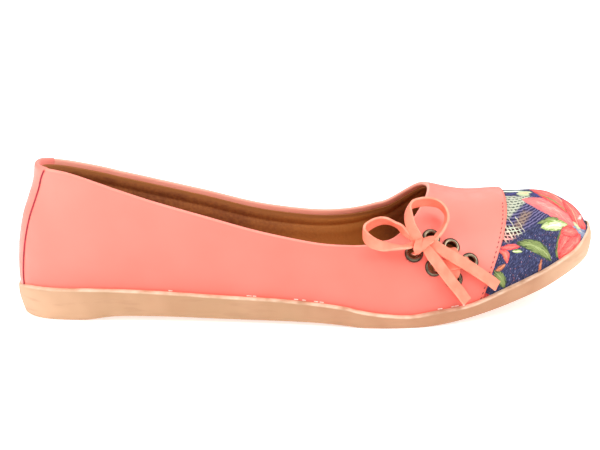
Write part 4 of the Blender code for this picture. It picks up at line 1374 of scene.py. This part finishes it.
# %% Eyelets
PROFILE = ((2.15, -2.5), (2.15, 0.45), (2.3, 0.8), (2.6, 0.95), (3.0, 0.93), (3.5, 0.7),
           (3.85, 0.3), (3.85, 0.0), (2.6, 0.0), (2.6, -2.0), (3.4, -2.0), (3.4, -2.5))
WORN = (0, 0.4, 1, 1, 0.8, 0.3)
for number, spot in enumerate(EYELETS, 1):
    bm = bmesh.new()
    wear_and_highlight = bm.verts.layers.float.new("wear_and_highlight")
    verts = [bm.verts.new((radius, 0, height)) for radius, height in PROFILE]
    for vert, amount in zip(verts, WORN):
        vert[wear_and_highlight] = amount
    ring = [bm.edges.new((a, b)) for a, b in zip(verts, verts[1:] + verts[:1])]
    bmesh.ops.spin(bm, geom=verts + ring, cent=(0, 0, 0), axis=(0, 0, 1), angle=2 * math.pi,
                   steps=48, use_merge=True)
    bmesh.ops.recalc_face_normals(bm, faces=bm.faces)
    centre, facing = on_side(*spot)
    bmesh.ops.transform(bm, verts=bm.verts, matrix=Matrix.Translation(centre)
                        @ facing.to_track_quat("Z", "Y").to_matrix().to_4x4())
    piece(f"eyelet_ring_{number}", bm, [brass], (f"eyelet_{number}",))

# %% [markdown]
# In front of the bow the lace crosses itself between four eyelets, and behind the leather it runs
# on from one eyelet to the next. Each run is a strip of its own, from the middle of one hole to
# the middle of another, since nobody sees how the hidden lengths join.

# %% Crossed strips
# Steps away from an eyelet: depth, distance, and the share of the lace's width that is open.
OVER = ((2.4, 0.3, 0.7), (0.3, 0.6, 0.8), (-1.25, 2.2, 0.95), (-1.7, 4.2, 1.0))
BEHIND = ((3.0, 1.6, 0.7), (3.7, 3.0, 1.0))


def run(first, last, steps, lift, centre=None):
    """Rows of a strip from one eyelet to another, lifted off the leather halfway."""
    start, end = (on_side(*EYELETS[number - 1])[0] for number in (first, last))
    centre, facing = on_side(*((start + end) / 2).xz if centre is None else centre)
    across = facing.cross(end - start).normalized()
    there, back_again = (
        [(*hole(one, depth, shift, other), *(across * wide)) for depth, shift, wide in steps]
        for one, other in ((first, last), (last, first)))
    return [*there, (*(centre + facing * lift), *across), *back_again[::-1]]


strip("lace_under", run(3, 5, OVER, 1.5))
strip("lace_over", run(2, 6, OVER, 2.7), ("lace_crossing",))
for first, last in ((1, 2), (6, 3), (5, 4)):
    centre = np.add(EYELETS[first - 1], EYELETS[last - 1]) / 2
    strip(f"lace_inside_{first}", run(first, last, BEHIND, -3.6, centre))

# %% [markdown]
# A stitch is one small rounded grain, turned along its seam, so hundreds of them cost few faces.
# The seam's line is walked in small steps, and a grain is set each time a pitch is full.

# %% Grains along a seam
def frame_on(x, side, share, drop=0.0):
    """A point of the last, the way along it and the way that it faces."""
    point = place(x, side, share, drop)
    along = place(x + 0.5, side, share, drop) - place(x - 0.5, side, share, drop)
    climb = point - place(x, side, share - 0.02, drop)
    return point, along.normalized(), (along.cross(climb) * -side).normalized()


def spread(points, pitch):
    """Indices of points that are a pitch apart along their line."""
    kept, length = [], pitch
    for i in range(1, len(points)):
        length += (points[i] - points[i - 1]).length
        if length >= pitch:
            kept.append(i)
            length -= pitch
    return kept


def beads(name, spots, size, material):
    """Small rounded pieces: each spot is a point, the way along it and the way it faces."""
    bm = bmesh.new()
    for point, along, facing in spots:
        made = bmesh.ops.create_uvsphere(bm, u_segments=8, v_segments=5, radius=0.5)["verts"]
        across = facing.cross(along).normalized()
        turn = Matrix((along.normalized() * size[0], across * size[1], facing * size[2]))
        bmesh.ops.transform(bm, matrix=Matrix.Translation(point) @ turn.transposed().to_4x4(),
                            verts=made)
    print(name, "has", len(spots), "grains")
    return piece(name, bm, [material])


print("grains 1 mm apart on 5 mm:", spread([Vector((i / 4, 0, 0)) for i in range(21)], 1.0))

# %% [markdown]
# Waxed thread sews the leather to the cap and the lining to the collar, each at its machine's own
# pitch. Specks of dried cement sit along the rim, as on any shoe that is glued by hand.

# %% Stitches and cement
SEAM_LINE, SEAM_PITCH = TOE_SEAM - 1.7, 2.3
COLLAR_DROP, COLLAR_PITCH = 2.75, 2.4
SPECKS = ((67.6, 0.8), (100.8, 1.2), (103.0, 0.5), (120.3, 0.9), (123.6, 0.6),
          (128.6, 0.8), (131.0, 0.9), (181.0, 1.1), (186.6, 0.5), (188.3, 0.8))
seam, collar, specks = [], [], []
for side in (-1, 1):
    shares = [0.1 + 0.66 * i / 400 for i in range(401)]
    points = [place(SEAM_LINE, side, share) for share in shares]
    for i in spread(points, SEAM_PITCH):
        point, along, facing = frame_on(SEAM_LINE, side, shares[i])
        down = (points[min(i + 3, 400)] - points[max(i - 3, 0)]).normalized()
        seam.append((point + facing * 0.03, (down + along * 0.35).normalized(), facing))
    line = [0.5 + (THROAT - 1.5) * i / 1500 for i in range(1501)]
    points = [place(x, side, 1.0, COLLAR_DROP) for x in line]
    for i in spread(points, COLLAR_PITCH):
        point, along, facing = frame_on(line[i], side, 1.0, COLLAR_DROP)
        collar.append((point - facing * 2.0, along, facing))
for x, wide in SPECKS:
    point, facing = on_side(x, rim(x) + 0.45)
    along = (on_side(x + 1, rim(x + 1) + 0.45)[0] - point).normalized()
    specks += [(point + facing * 0.05 + along * wide * k, along, facing) for k in (-0.5, 0.4)]
beads("seam_stitches", seam, (1.25, 0.5, 0.4), thread)
beads("collar_stitches", collar, (0.95, 0.42, 0.4), thread)
beads("cement_specks", specks, (1.3, 0.45, 0.3), glue)
